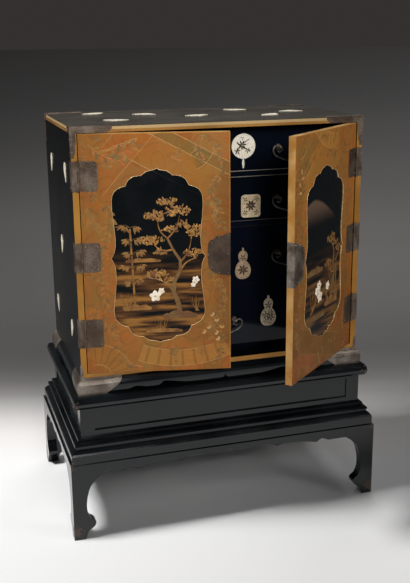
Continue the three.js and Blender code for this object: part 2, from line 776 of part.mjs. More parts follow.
// Drawers: a front that carries its plaque and the posts of its handles, and an open-topped box behind it
function drawer(number) {
  const foot = openingFeet[number - 1] + drawerTopGap / 2;
  const head = openingFeet[number - 1] + openings[number - 1] - drawerTopGap / 2;
  const half = innerHalf - drawerSideGap;
  const frontBack = drawerFace + frontThick;
  const boxBack = caseBack - backThick - drawerBackGap;
  const front = solid(box(-half, half, drawerFace, frontBack, foot, head));
  const carried = [plaque(number), ...bailPosts(number)];
  add(`drawer_${number}_front`, shell(joined([front, ...carried])), innerLacquer);
  const outer = solid(box(-half, half, frontBack, boxBack, foot, head - boxDrop));
  const inner = solid(box(-half + boxWall, half - boxWall, frontBack - overrun, boxBack - boxWall,
    foot + boxBottom, head + overrun));
  add(`drawer_${number}_box`, shell(outer.subtract(inner)), bareWood);
}

// Handles: a bail hung in the ring eyes of two posts. Each end is rolled up like a young fern: the bar
// swells where it leaves the grip, rises outside the post, bends over it, runs in through the ring eye
// and curls down to a bud. Each entry is [across, up, thickness].
const bailShares = [
  [0.8, -0.27, 0.75], [0.745, -0.325, 1.2], [0.67, -0.29, 0.95], [0.618, -0.15, 0.85], [0.65, 0, 0.8],
  [0.76, 0, 0.8], [0.82, 0.06, 0.85], [0.89, 0.09, 0.95], [0.96, 0.02, 1], [1, -0.15, 1.05],
  [0.985, -0.34, 1.05], [0.92, -0.52, 1.15], [0.81, -0.66, 1.45], [0.7, -0.74, 1.05], [0.45, -0.89, 1],
  [0, -1, 1],
];

// A bar of round section along a path in the plane of X and Z, its radius given at every point.
function taperedBar(path, radii, sides) {
  const points = [];
  const faces = [];
  path.forEach(([x, z], i) => {
    const [x0, z0] = path[Math.max(i - 1, 0)];
    const [x1, z1] = path[Math.min(i + 1, path.length - 1)];
    const length = Math.hypot(x1 - x0, z1 - z0);
    const across = [-(z1 - z0) / length, (x1 - x0) / length];
    for (let side = 0; side < sides; side += 1) {
      const angle = (2 * Math.PI * side) / sides;
      const out = radii[i] * Math.cos(angle);
      points.push(x + across[0] * out, radii[i] * Math.sin(angle), z + across[1] * out);
      if (i > 0) {
        const next = (side + 1) % sides;
        const [here, beside] = [i * sides + side, i * sides + next];
        faces.push(here - sides, here, beside - sides, beside - sides, here, beside);
      }
    }
  });
  const last = (path.length - 1) * sides;
  for (let side = 1; side < sides - 1; side += 1) {
    faces.push(0, side, side + 1, last, last + side + 1, last + side);
  }
  const geometry = new THREE.BufferGeometry();
  geometry.setAttribute('position', new THREE.Float32BufferAttribute(points, 3));
  geometry.setIndex(faces);
  return geometry;
}

const bailY = drawerFace - bailStand;

function bail() {
  const left = bailShares.slice(0, -1).map(([across, ...rest]) => [-across, ...rest]);
  const shares = [...left, ...[...bailShares].reverse()];
  const path = sized(shares, bailWidth / 2 - bailRadius, bailHeight);
  return taperedBar(path, shares.map(([, , thickness]) => thickness * bailRadius), 6);
}

// A post about the middle of its eye: rose on the drawer, shank, and ring with its hole across the front.
function bailPost() {
  const rose = solid(rodY(roseRadius, bailStand - roseThick, bailStand + roseThick, 10));
  const eye = new THREE.CylinderGeometry(eyeHole + eyeRim, eyeHole + eyeRim, eyeWidth, 8).rotateZ(Math.PI / 2);
  const hole = new THREE.CylinderGeometry(eyeHole, eyeHole, overrun, 6).rotateZ(Math.PI / 2);
  const shank = solid(rodY(shankRadius, eyeHole + eyeRim / 2, bailStand, 6));
  return joined([rose, shank, solid(eye)]).subtract(solid(hole));
}

// The middles of the handles of one drawer: one on the bottom drawer, two on the others
function handlePlaces(number) {
  const height = openingFeet[number - 1] + openings[number - 1] / 2;
  const twins = [['left', -twinBailOffset, height], ['right', twinBailOffset, height]];
  return number === openings.length ? [['middle', 0, height]] : twins;
}

function bailPosts(number) {
  const post = shell(bailPost());
  return handlePlaces(number).flatMap(([, x, z]) =>
    [-eyeHalfSpan, eyeHalfSpan].map((eye) => solid(post.clone().translate(x + eye, bailY, z))));
}

function bails(number) {
  for (const [place, x, z] of handlePlaces(number)) {
    add(`drawer_${number}_bail_${place}`, bail().translate(x, bailY, z), dullSilver);
  }
}

// Carved plaques laid on the drawer fronts: a hand mirror, a rounded tile and two gourds
const gourdShares = [
  [[0, 1], [0.11, 0.985], [0.13, 0.9]],
  [[0.42, 0.86], [0.6, 0.75], [0.52, 0.635], [0.4, 0.575]],
  [[0.78, 0.47], [1, 0.27], [0.82, 0.09], [0.4, 0.01], [0, 0]],
];

function mirrorOutline() {
  const handleHalf = mirrorHandleWidth / 2;
  const turn = Math.asin(handleHalf / mirrorRadius);
  const shape = new THREE.Shape();
  const foot = -mirrorRadius - mirrorHandle;
  shape.moveTo(-handleHalf, foot + handleHalf);
  shape.absarc(0, foot + handleHalf, handleHalf, Math.PI, 2 * Math.PI, false);
  shape.absarc(0, 0, mirrorRadius, -Math.PI / 2 + turn, Math.PI * 1.5 - turn, false);
  return shape;
}

function tileOutline() {
  const [halfWidth, halfHeight] = [tileWidth / 2 - tileRound, tileHeight / 2 - tileRound];
  const shape = new THREE.Shape();
  shape.moveTo(-halfWidth, -halfHeight - tileRound);
  shape.absarc(halfWidth, -halfHeight, tileRound, -Math.PI / 2, 0, false);
  shape.absarc(halfWidth, halfHeight, tileRound, 0, Math.PI / 2, false);
  shape.absarc(-halfWidth, halfHeight, tileRound, Math.PI / 2, Math.PI, false);
  shape.absarc(-halfWidth, -halfHeight, tileRound, Math.PI, Math.PI * 1.5, false);
  return shape;
}

// The plaque of one drawer, let into its front at its own place beside and above the drawer's middle
function plaque(number) {
  const gourd = closedOutline(sized(lobed(gourdShares), gourdWidth / 2, gourdHeight, 0, -gourdHeight / 2));
  const [shape, [x, rise]] = [
    [mirrorOutline(), mirrorPlace],
    [tileOutline(), tilePlace],
    [gourd, thirdGourdPlace],
    [gourd, bottomGourdPlace],
  ][number - 1];
  const z = openingFeet[number - 1] + openings[number - 1] / 2 + rise;
  const blank = alongY(shape, drawerFace - plaqueThick, drawerFace + plaqueThick, 5);
  return solid(blank.translate(x, 0, z));
}

// Inlays scattered on the top and the sides, each a small open fan with a scalloped edge
const fanShares = [
  [[0, -0.5], [0.12, -0.46]],
  [[0.5, 0.14]],
  [[0.49, 0.27], [0.36, 0.33]],
  [[0.28, 0.45], [0.13, 0.42]],
  [[0.07, 0.5], [0, 0.5]],
];
const topInlayShares = [
  [-0.338, 0.314, 0.06], [-0.318, -0.192, -0.05], [-0.172, 0.156, 0.42], [-0.013, -0.066, 0.02],
  [0.183, 0.251, -0.08], [0.235, -0.186, 0.1], [0.353, 0.018, 0.46],
];
const sideInlayShares = [
  [0.272, 0.807, 0.04], [-0.272, 0.811, -0.06], [-0.003, 0.486, 0.03], [0.302, 0.173, -0.04],
  [-0.24, 0.163, 0.05],
];

function fan(width, height) {
  return closedOutline(sized(lobed(fanShares, 1), width, height).reverse());
}

function topInlays() {
  return topInlayShares.map(([across, back, turn]) => {
    const blank = alongZ(fan(topInlayLong, topInlayShort), -inlayThick, inlayThick);
    return solid(blank.rotateZ(2 * Math.PI * turn).translate(caseWidth * across, caseDepth * back, caseHead));
  });
}

function sideInlays() {
  const caseHeight = caseHead - caseFoot;
  return sideInlayShares.map(([back, up, turn]) => {
    const blank = alongX(fan(sideInlayShort, sideInlayTall), -inlayThick, inlayThick);
    return solid(blank.rotateX(2 * Math.PI * turn).translate(caseHalf, caseDepth * back, caseFoot + caseHeight * up));
  });
}

standTop();
standRails();
standLegs();
standAprons();
caseBoards();
dustBoards();
topMounts();
plinth();
footMounts();
doors();
hingesOnCase();
for (let number = 1; number <= openings.length; number += 1) {
  drawer(number);
  bails(number);
}

const whole = new THREE.Box3().setFromObject(cabinet, true);
cabinet.position.y = -(whole.min.y + whole.max.y) / 2;

export default cabinet;
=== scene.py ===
# %% [markdown]
# # A lacquered cabinet on its stand
# The cabinet's solids come ready made, each in its place and in metres. This lesson dresses them: it
# gives every board, mount and drawer the finish of the real one, and adds the fine pieces that a
# craftsman lays on last, such as gold relief pictures, rims, nails and carved leaves. X runs to the
# right, Y into the case and Z up. Finishes and pieces are placed from the middle of the stand, because
# the case and the stand are the same on both sides of it.

# %% Load the cabinet and keep its size
import json
import math
import random

import bmesh
import bpy
from mathutils import Matrix, Vector


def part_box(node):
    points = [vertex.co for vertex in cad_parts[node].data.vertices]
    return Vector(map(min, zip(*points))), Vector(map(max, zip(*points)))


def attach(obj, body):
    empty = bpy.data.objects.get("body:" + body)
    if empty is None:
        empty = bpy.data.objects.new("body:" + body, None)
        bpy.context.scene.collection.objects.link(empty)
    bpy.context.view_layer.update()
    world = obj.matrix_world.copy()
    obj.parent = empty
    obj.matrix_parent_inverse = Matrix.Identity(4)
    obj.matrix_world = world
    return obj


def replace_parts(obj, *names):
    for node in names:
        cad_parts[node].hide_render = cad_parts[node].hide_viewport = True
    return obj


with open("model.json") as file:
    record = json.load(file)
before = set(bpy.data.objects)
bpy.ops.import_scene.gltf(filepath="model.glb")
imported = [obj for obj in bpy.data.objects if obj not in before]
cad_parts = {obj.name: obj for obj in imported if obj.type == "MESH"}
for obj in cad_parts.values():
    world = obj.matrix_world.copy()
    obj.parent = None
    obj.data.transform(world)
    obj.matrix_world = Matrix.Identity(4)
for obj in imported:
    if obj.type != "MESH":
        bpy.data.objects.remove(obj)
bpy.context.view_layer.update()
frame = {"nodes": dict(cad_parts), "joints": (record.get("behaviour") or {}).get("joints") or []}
nodes = frame["nodes"]
MM = 0.001
slab_low, slab_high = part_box("stand_top")
MIDDLE = Vector((0, (slab_low.y + slab_high.y) / 2, 0))
JOINTS = {joint["name"]: joint for joint in frame["joints"]}
print("the middle of the stand is at", [round(c, 4) for c in MIDDLE])

# %% [markdown]
# ## Camera
# The photograph was taken from the left of the cabinet and from above its top, with a fairly long lens.
# The place and the angles below were found by matching the corners of the case, the slab and the feet.
# The camera's axes are built as three vectors, which keeps the small roll in plain sight.

# %% Camera
eye = MIDDLE + Vector((-0.5737, -1.8950, 1.0020))
yaw, pitch, roll = (math.radians(a) for a in (17.155, 15.684, -0.564))
forward = Vector((math.sin(yaw) * math.cos(pitch), math.cos(yaw) * math.cos(pitch), -math.sin(pitch)))
level = Vector((math.cos(yaw), -math.sin(yaw), 0))
upright = level.cross(forward)
across = level * math.cos(roll) + upright * math.sin(roll)
above = upright * math.cos(roll) - level * math.sin(roll)

camera = bpy.data.objects.new("camera", bpy.data.cameras.new("camera"))
camera.data.lens = 57.12
camera.data.sensor_width = 36
camera.data.clip_start, camera.data.clip_end = 0.05, 60
camera.matrix_world = Matrix.Translation(eye) @ Matrix((across, above, -forward)).transposed().to_4x4()
bpy.context.scene.collection.objects.link(camera)
bpy.context.scene.camera = camera
bpy.context.scene.view_settings.view_transform = "Standard"
print("camera", round((eye - Vector((0, 0, 0.5))).length, 2), "metres from the cabinet's middle")

# %% [markdown]
# ## Helpers for shaders
# A material is a small tree of nodes. Most of these finishes need the same few steps, so short helpers
# place a node, do one sum, mix two colours and work with masks. A mask is a value from 0 to 1 that says
# where something is. Wherever a helper takes a number it also takes the output of another node.


# %% Node helpers
def put(tree, kind, inputs=None, **settings):
    """Places one node, sets its options, and fills its inputs with numbers or with other nodes' outputs."""
    made = tree.nodes.new(kind)
    for key, value in settings.items():
        setattr(made, key, value)
    for key, value in (inputs or {}).items():
        if isinstance(value, bpy.types.NodeSocket):
            tree.links.new(value, made.inputs[key])
        else:
            made.inputs[key].default_value = value
    return made


def calc(tree, operation, a, b=0.0, c=0.0):
    """One step of arithmetic."""
    return put(tree, "ShaderNodeMath", {0: a, 1: b, 2: c}, operation=operation).outputs[0]


def mix(tree, mask, a, b):
    """Colour a where the mask is 0 and colour b where it is 1."""
    return put(tree, "ShaderNodeMix", {0: mask, 6: a, 7: b}, data_type="RGBA").outputs[2]


def between(tree, value, low, high):
    """1 where a value lies between two others, else 0."""
    above_low = calc(tree, "GREATER_THAN", value, low)
    return calc(tree, "MULTIPLY", above_low, calc(tree, "LESS_THAN", value, high))


def either(tree, a, b):
    """The stronger of two masks."""
    return calc(tree, "MAXIMUM", a, b)


def both(tree, a, b):
    """Where two masks overlap."""
    return calc(tree, "MULTIPLY", a, b)


def some(tree, mask, amount):
    """A mask at part of its strength."""
    return calc(tree, "MULTIPLY", mask, amount)


def rest(tree, mask):
    """What a mask leaves out."""
    return calc(tree, "SUBTRACT", 1.0, mask)


def ease(tree, value, low, high):
    """0 at a low value, 1 at a high one, and a smooth change between the two."""
    limits = {0: value, 1: low, 2: high}
    return put(tree, "ShaderNodeMapRange", limits, interpolation_type="SMOOTHSTEP").outputs[0]


print("node helpers:", put.__name__, calc.__name__, mix.__name__, ease.__name__, "and masks")

# %% [markdown]
# ## Shared effects
# Old lacquer, metal and gold grounds have things in common: slow changes of tone, fine specks, engraved
# lines, and wear that bites in from the corners. Each effect is a node group, built once and placed in
# every material that needs it with its own values. A group puts out a mask or a value only, and the
# shader itself stays in the material.


# %% Effect groups
def effect(name, takes, gives):
    """An empty node group with named inputs and outputs."""
    group = bpy.data.node_groups.new(name, "ShaderNodeTree")
    for label, kind, value in takes:
        socket = group.interface.new_socket(label, in_out="INPUT", socket_type=kind)
        if value is not None:
            socket.default_value = value
    for label in gives:
        group.interface.new_socket(label, in_out="OUTPUT", socket_type="NodeSocketFloat")
    start, end = group.nodes.new("NodeGroupInput"), group.nodes.new("NodeGroupOutput")
    return group, start.outputs, end.inputs


def build_mottle():
    """Slow patches and fine specks of tone."""
    group, takes, gives = effect(
        "mottle",
        [("Place", "NodeSocketVector", None), ("Patch scale", "NodeSocketFloat", 12.0),
         ("Speck scale", "NodeSocketFloat", 900.0)],
        ["Patches", "Specks"],
    )
    place, patch_scale, speck_scale = takes[:3]
    slow = put(group, "ShaderNodeTexNoise",
               {"Vector": place, "Scale": patch_scale, "Detail": 5.0, "Roughness": 0.55})
    fine = put(group, "ShaderNodeTexNoise", {"Vector": place, "Scale": speck_scale, "Detail": 2.0})
    group.links.new(ease(group, slow.outputs[0], 0.35, 0.65), gives[0])
    group.links.new(ease(group, fine.outputs[0], 0.58, 0.66), gives[1])
    return group


def build_corner_wear():
    """Wear that starts at a corner and fades along its edges. The corner is given for positive X and Y."""
    group, takes, gives = effect(
        "corner wear",
        [("Place", "NodeSocketVector", None), ("Corner", "NodeSocketVector", (0.3, 0.2, 0.1)),
         ("Reach", "NodeSocketFloat", 0.05)],
        ["Wear"],
    )
    place, corner, reach = takes[:3]
    mirrored = put(group, "ShaderNodeVectorMath", {0: place}, operation="ABSOLUTE")
    apart = put(group, "ShaderNodeVectorMath", {0: mirrored.outputs[0], 1: corner}, operation="DISTANCE")
    near = rest(group, calc(group, "DIVIDE", apart.outputs["Value"], reach))
    rough = put(group, "ShaderNodeTexNoise",
                {"Vector": place, "Scale": 140.0, "Detail": 6.0, "Roughness": 0.65})
    uneven = some(group, calc(group, "SUBTRACT", rough.outputs[0], 0.62), 3.0)
    group.links.new(ease(group, calc(group, "ADD", near, uneven), 0.1, 0.3), gives[0])
    return group


EFFECTS = {"mottle": build_mottle(), "wear": build_corner_wear()}
print("effects so far:", ", ".join(EFFECTS))

# %% [markdown]
# ### Bands and scrolls
# A band is every point that lies less than half its width from a line. Scrolls are rings round scattered
# points, bent by a noise. Sums like these stay sharp at any distance, where a picture would blur or show
# its pixels.


# %% Bands and scrolls
def build_band():
    """A straight band across a surface, with a thin line along each of its edges."""
    group, takes, gives = effect(
        "band",
        [("Place", "NodeSocketVector", None), ("Across", "NodeSocketVector", (1.0, 0.0, 0.0)),
         ("Middle", "NodeSocketFloat", 0.0), ("Half width", "NodeSocketFloat", 0.02),
         ("Line", "NodeSocketFloat", 0.0008)],
        ["Band", "Lines"],
    )
    place, way_across, middle, half_width, line = takes[:5]
    dotted = put(group, "ShaderNodeVectorMath", {0: place, 1: way_across}, operation="DOT_PRODUCT")
    far = dotted.outputs["Value"]
    off = calc(group, "ABSOLUTE", calc(group, "SUBTRACT", far, middle))
    group.links.new(calc(group, "LESS_THAN", off, half_width), gives[0])
    edge = calc(group, "ABSOLUTE", calc(group, "SUBTRACT", off, half_width))
    group.links.new(calc(group, "LESS_THAN", edge, line), gives[1])
    return group


def build_scrollwork():
    """Curling engraved lines, as on chased mounts and carved plaques."""
    group, takes, gives = effect(
        "scrollwork",
        [("Place", "NodeSocketVector", None), ("Size", "NodeSocketFloat", 0.008),
         ("Fine", "NodeSocketFloat", 0.3)],
        ["Groove"],
    )
    place, size, fineness = takes[:3]
    times = calc(group, "DIVIDE", 1.0, size)
    scaled = put(group, "ShaderNodeVectorMath", {0: place, 3: times}, operation="SCALE")
    bend = put(group, "ShaderNodeTexNoise", {"Vector": scaled.outputs[0], "Scale": 0.7, "Detail": 1.0})
    moved = put(group, "ShaderNodeVectorMath", {0: scaled.outputs[0], 1: bend.outputs["Color"]},
                operation="ADD")
    cells = put(group, "ShaderNodeTexVoronoi", {"Vector": moved.outputs[0], "Scale": 1.0}, feature="F1")
    rings = calc(group, "SINE", calc(group, "MULTIPLY", cells.outputs["Distance"], 19.0))
    group.links.new(ease(group, rings, fineness, 1.0), gives[0])
    return group


EFFECTS["band"] = build_band()
EFFECTS["scrollwork"] = build_scrollwork()
print("effects so far:", ", ".join(EFFECTS))

# %% [markdown]
# ### Fans
# An open fan is measured from its pivot by reach and by angle. The field lies between two arcs, the ribs
# are a wave that follows the angle, and the thin edge is what lies close to either arc.


# %% Fans
FAN_LINE = 0.6 * MM


def build_fan():
    """An open fan: a field between two arcs, and the ribs that cross it."""
    group, takes, gives = effect(
        "fan",
        [("Place", "NodeSocketVector", None), ("Pivot", "NodeSocketVector", (0.0, 0.0, 0.0)),
         ("Inner", "NodeSocketFloat", 0.03), ("Outer", "NodeSocketFloat", 0.08),
         ("Aim", "NodeSocketFloat", 0.8), ("Half angle", "NodeSocketFloat", 0.7),
         ("Ribs", "NodeSocketFloat", 24.0)],
        ["Field", "Ribs", "Edge"],
    )
    place, pivot, inner, outer, aim, half_angle, rib_count = takes[:7]
    from_pivot = put(group, "ShaderNodeVectorMath", {0: place, 1: pivot}, operation="SUBTRACT").outputs[0]
    flat = put(group, "ShaderNodeVectorMath", {0: from_pivot, 1: (1, 0, 1)}, operation="MULTIPLY").outputs[0]
    reach = put(group, "ShaderNodeVectorMath", {0: flat}, operation="LENGTH").outputs["Value"]
    parts = put(group, "ShaderNodeSeparateXYZ", {0: flat}).outputs
    angle = calc(group, "ARCTAN2", parts[2], parts[0])
    off = calc(group, "ABSOLUTE", calc(group, "SUBTRACT", angle, aim))
    open_part = calc(group, "LESS_THAN", off, half_angle)
    field = both(group, between(group, reach, inner, outer), open_part)
    wave = calc(group, "SINE", calc(group, "MULTIPLY", angle, rib_count))
    from_inner = calc(group, "ABSOLUTE", calc(group, "SUBTRACT", reach, inner))
    from_outer = calc(group, "ABSOLUTE", calc(group, "SUBTRACT", reach, outer))
    on_arc = calc(group, "LESS_THAN", calc(group, "MINIMUM", from_inner, from_outer), FAN_LINE)
    group.links.new(field, gives[0])
    group.links.new(both(group, field, calc(group, "GREATER_THAN", wave, 0.8)), gives[1])
    group.links.new(both(group, on_arc, open_part), gives[2])
    return group


EFFECTS["fan"] = build_fan()


def use(tree, effect_name, inputs):
    """Places a shared effect in a material and returns its outputs by name."""
    placed = put(tree, "ShaderNodeGroup", node_tree=EFFECTS[effect_name])
    for key, value in inputs.items():
        if isinstance(value, bpy.types.NodeSocket):
            tree.links.new(value, placed.inputs[key])
        else:
            placed.inputs[key].default_value = value
    return placed.outputs


print("effects:", ", ".join(EFFECTS))

# %% [markdown]
# ## How every finish starts
# A finish is one material with one Principled shader. Its patterns read Object coordinates, which stay
# with a solid when its door or drawer moves, and a Mapping node moves their zero to the middle of the
# stand, so that one set of numbers serves the left side and the right. Generated coordinates would
# stretch with each board's own box instead.


# %% Start a finish
def finish(name):
    """A material with one Principled shader, and Object coordinates measured from the middle of the stand."""
    material = bpy.data.materials.new(name)
    material.use_nodes = True
    tree = material.node_tree
    shader = tree.nodes["Principled BSDF"]
    centred = put(tree, "ShaderNodeMapping", {"Vector": put(tree, "ShaderNodeTexCoord").outputs["Object"]})
    centred.inputs["Location"].default_value = -MIDDLE
    return material, tree, shader, centred.outputs[0]


def feed(tree, shader, **sockets):
    """Links or sets shader sockets by name, with underscores for spaces."""
    for key, value in sockets.items():
        socket = shader.inputs[key.replace("_", " ")]
        if isinstance(value, bpy.types.NodeSocket):
            tree.links.new(value, socket)
        else:
            socket.default_value = value


def bumped(tree, shader, height, strength, distance):
    """Turns a height into small changes of the surface's direction."""
    bump = put(tree, "ShaderNodeBump", {"Height": height, "Strength": strength, "Distance": distance})
    tree.links.new(bump.outputs[0], shader.inputs["Normal"])


def stretched(tree, place, scale):
    """Coordinates that are multiplied along each axis, which draws a pattern out along the smallest."""
    mapping = put(tree, "ShaderNodeMapping", {"Vector": place})
    mapping.inputs["Scale"].default_value = scale
    return mapping.outputs[0]


print("every finish is measured from", [round(c, 4) for c in MIDDLE])

# %% [markdown]
# ## Colours
# Black lacquer is never pure black, and the gold grounds are powdered metal under clear lacquer, so they
# are closer to a warm satin paint than to polished gold. The values are linear, as Blender wants them.
# They are named once here, so that a board, a rim and a leaf of the same gold stay alike when one of them
# is changed.

# %% Colours
LACQUER_DEEP = (0.0008, 0.0012, 0.0015, 1)
LACQUER_BLACK = (0.0020, 0.0032, 0.0040, 1)
LACQUER_GREY = (0.0055, 0.0078, 0.0092, 1)
LACQUER_NAVY = (0.0028, 0.0046, 0.0095, 1)
LACQUER_BROWN = (0.070, 0.042, 0.028, 1)
LACQUER_FADED = (0.092, 0.079, 0.061, 1)
GOLD_ORANGE = (0.400, 0.118, 0.022, 1)
GOLD_RED = (0.370, 0.088, 0.020, 1)
GOLD_YELLOW = (0.340, 0.155, 0.032, 1)
GOLD_BRIGHT = (0.460, 0.220, 0.048, 1)
GOLD_GREEN = (0.190, 0.115, 0.030, 1)
GOLD_BROWN = (0.150, 0.060, 0.018, 1)
GOLD_PALE = (0.600, 0.370, 0.150, 1)
SILVER_DULL = (0.150, 0.118, 0.095, 1)
SILVER_DARK = (0.050, 0.038, 0.030, 1)
SILVER_WORN = (0.340, 0.295, 0.245, 1)
HILL_BROWN = (0.100, 0.062, 0.042, 1)
PLATE_DULL = (0.072, 0.048, 0.034, 1)
BRONZE_DULL = (0.100, 0.066, 0.046, 1)
BRONZE_WORN = (0.210, 0.160, 0.120, 1)
BRONZE_DARK = (0.035, 0.024, 0.018, 1)
SHELL_WHITE = (0.840, 0.760, 0.620, 1)
SHELL_LINE = (0.070, 0.038, 0.022, 1)
WOOD_BROWN = (0.060, 0.030, 0.016, 1)
print("pale gold is", round(GOLD_PALE[1] / LACQUER_GREY[1]), "times as bright as old lacquer")

# %% [markdown]
# ## Black lacquer
# The stand and the plinth are wood under many coats of black lacquer. It is glossy but old: the gloss
# changes slowly over a board, dust dulls it in specks, and at the corners the black has rubbed through to
# brown. One finish serves all these boards, because its wear is placed by the corners of the slab and of
# the legs.


# %% Black lacquer of the stand and plinth
SLAB_CORNER, SLAB_WEAR = (0.322, 0.189, 0.289), 0.018
FOOT_CORNER, FOOT_WEAR = (0.336, 0.203, 0.018), 0.030
KNEE_CORNER, KNEE_WEAR = (0.336, 0.203, 0.168), 0.020


def stand_lacquer():
    """Black gloss with dusty specks, rubbed brown at the corners of the slab, the knees and the feet."""
    material, tree, shader, place = finish("stand_lacquer")
    tone = use(tree, "mottle", {"Place": place, "Patch scale": 7.0, "Speck scale": 1100.0})
    slab = use(tree, "wear", {"Place": place, "Corner": SLAB_CORNER, "Reach": SLAB_WEAR})["Wear"]
    foot = use(tree, "wear", {"Place": place, "Corner": FOOT_CORNER, "Reach": FOOT_WEAR})["Wear"]
    knee = use(tree, "wear", {"Place": place, "Corner": KNEE_CORNER, "Reach": KNEE_WEAR})["Wear"]
    wear_and_highlight = either(tree, slab, either(tree, foot, knee))
    black = mix(tree, tone["Patches"], LACQUER_BLACK, LACQUER_GREY)
    colour = mix(tree, wear_and_highlight, black, LACQUER_BROWN)
    gloss = calc(tree, "ADD", 0.09, some(tree, tone["Patches"], 0.08))
    dusty = calc(tree, "ADD", gloss, some(tree, tone["Specks"], 0.12))
    rough = calc(tree, "ADD", dusty, some(tree, wear_and_highlight, 0.35))
    feed(tree, shader, Base_Color=colour, Roughness=rough, IOR=1.52, Specular_IOR_Level=0.48)
    bumped(tree, shader, tone["Specks"], 0.08, 0.0002)
    return material


STAND = stand_lacquer()
print("the stand's lacquer has", len(STAND.node_tree.nodes), "nodes")

# %% [markdown]
# ## Lacquer with gold edges
# The boards of the case are black outside, with powdered gold on the narrow faces that look forwards, a
# gold band along the top's side edges, and inlays that stand one millimetre proud. A single finish can
# hold all of that, because each part is told by its place: in front of the case's face it is gold, and
# proud of the board it is shell. It is used three times: for the top and bottom, for the side boards,
# which are blacker and mirror less, and for the bluer boards inside. On the top's upper face the black
# has faded in streaks.


# %% Case lacquer
FRONT_FACE = -0.16695
SIDE_FACE = 0.29995
INLAY_SIDE, INLAY_TOP, INLAY_END = 0.3001, 0.8341, 0.16
BAND_FOOT, BAND_LINE, BAND_HEAD = 0.8223, 0.8262, 0.8275
TOP_FACE, STREAKS = 0.8338, (14.0, 40.0, 14.0)
EDGE_GOLD_HIGHLIGHT = (0.600, 0.415, 0.195, 1)


def gold_of_case(tree, y, z, side):
    """Masks for the gold faces of the case's boards, and for their upper part, which is painted lighter as a
    painted highlight.
    """
    band = both(tree, side, calc(tree, "GREATER_THAN", z, BAND_FOOT))
    line = both(tree, band, between(tree, z, BAND_LINE, BAND_HEAD))
    gold = either(tree, calc(tree, "LESS_THAN", y, FRONT_FACE), both(tree, band, rest(tree, line)))
    return gold, both(tree, gold, calc(tree, "GREATER_THAN", z, BAND_HEAD))


def case_lacquer(name, deep_tone, light_tone, mirror):
    """Lacquer in two tones, with gold and shell told by their place. Mirror is the specular level."""
    material, tree, shader, place = finish(name)
    x, y, z = put(tree, "ShaderNodeSeparateXYZ", {0: place}).outputs
    tone = use(tree, "mottle", {"Place": place, "Patch scale": 6.0, "Speck scale": 1000.0})
    wide = calc(tree, "ABSOLUTE", x)
    gold, bright = gold_of_case(tree, y, z, calc(tree, "GREATER_THAN", wide, SIDE_FACE))
    raised = calc(tree, "GREATER_THAN", wide, INLAY_SIDE)
    raised = either(tree, raised, calc(tree, "GREATER_THAN", z, INLAY_TOP))
    shell = both(tree, raised, calc(tree, "LESS_THAN", calc(tree, "ABSOLUTE", y), INLAY_END))
    groove = use(tree, "scrollwork", {"Place": place, "Size": 0.011, "Fine": 0.2})["Groove"]
    shell_colour = mix(tree, some(tree, groove, 0.55), SHELL_WHITE, SHELL_LINE)
    black = mix(tree, tone["Patches"], deep_tone, light_tone)
    streaky = stretched(tree, place, STREAKS)
    rubbing = put(tree, "ShaderNodeTexNoise", {"Vector": streaky, "Scale": 1.0, "Detail": 6.0}).outputs[0]
    faded = put(tree, "ShaderNodeMapRange", {0: rubbing, 1: 0.30, 2: 0.70, 3: 0.30, 4: 0.85}).outputs[0]
    black = mix(tree, both(tree, between(tree, z, TOP_FACE, INLAY_TOP), faded), black, LACQUER_FADED)
    gilded = mix(tree, tone["Patches"], GOLD_YELLOW, GOLD_BRIGHT)
    # The upper part of the gold faces is painted lighter: a painted highlight in a paler gold.
    gilded = mix(tree, bright, gilded, EDGE_GOLD_HIGHLIGHT)
    rubbed = mix(tree, some(tree, tone["Specks"], 0.5), gilded, GOLD_BROWN)
    colour = mix(tree, shell, mix(tree, gold, black, rubbed), shell_colour)
    gloss = calc(tree, "ADD", 0.12, some(tree, tone["Patches"], 0.10))
    satin = calc(tree, "ADD", gloss, some(tree, gold, 0.22))
    rough = calc(tree, "ADD", satin, some(tree, shell, 0.2))
    metallic = some(tree, gold, 0.35)
    feed(tree, shader, Base_Color=colour, Roughness=rough, Metallic=metallic, Specular_IOR_Level=mirror)
    height = calc(tree, "ADD", tone["Specks"], both(tree, shell, groove))
    bumped(tree, shader, height, 0.10, 0.0003)
    return material


CASE = case_lacquer("case_lacquer", LACQUER_BLACK, LACQUER_GREY, 0.35)
CASE_SIDE = case_lacquer("side_lacquer", LACQUER_DEEP, LACQUER_BLACK, 0.05)
INNER = case_lacquer("inner_lacquer", LACQUER_NAVY, LACQUER_NAVY, 0.35)
print("lacquers of the case:", CASE.name, CASE_SIDE.name, INNER.name)

# %% [markdown]
# ## Metal mounts
# The mounts at the foot of the case are thin silver sheet gone dull. The top mounts, the hinges and the
# lock plates have turned a deeper bronze brown. All are engraved with scrolls that hold dark dirt while
# the raised parts stay brighter. The engraving is far finer than a render pixel, so it is a bump and a
# change of tone, not geometry.


# %% Dull metal
def dull_metal(name, size, contrast, dull, wear_and_highlight, dark):
    """Engraved metal in two tones, with dirt in scrolls of a given size."""
    material, tree, shader, place = finish(name)
    tone = use(tree, "mottle", {"Place": place, "Patch scale": 28.0, "Speck scale": 1500.0})
    groove = use(tree, "scrollwork", {"Place": place, "Size": size, "Fine": 0.1})["Groove"]
    aged = mix(tree, tone["Patches"], dull, wear_and_highlight)
    dirty = mix(tree, some(tree, groove, contrast), aged, dark)
    rough = calc(tree, "ADD", 0.36, some(tree, tone["Patches"], 0.14))
    feed(tree, shader, Base_Color=dirty, Roughness=rough, Metallic=0.75)
    bumped(tree, shader, rest(tree, groove), 0.25, 0.0003)
    return material


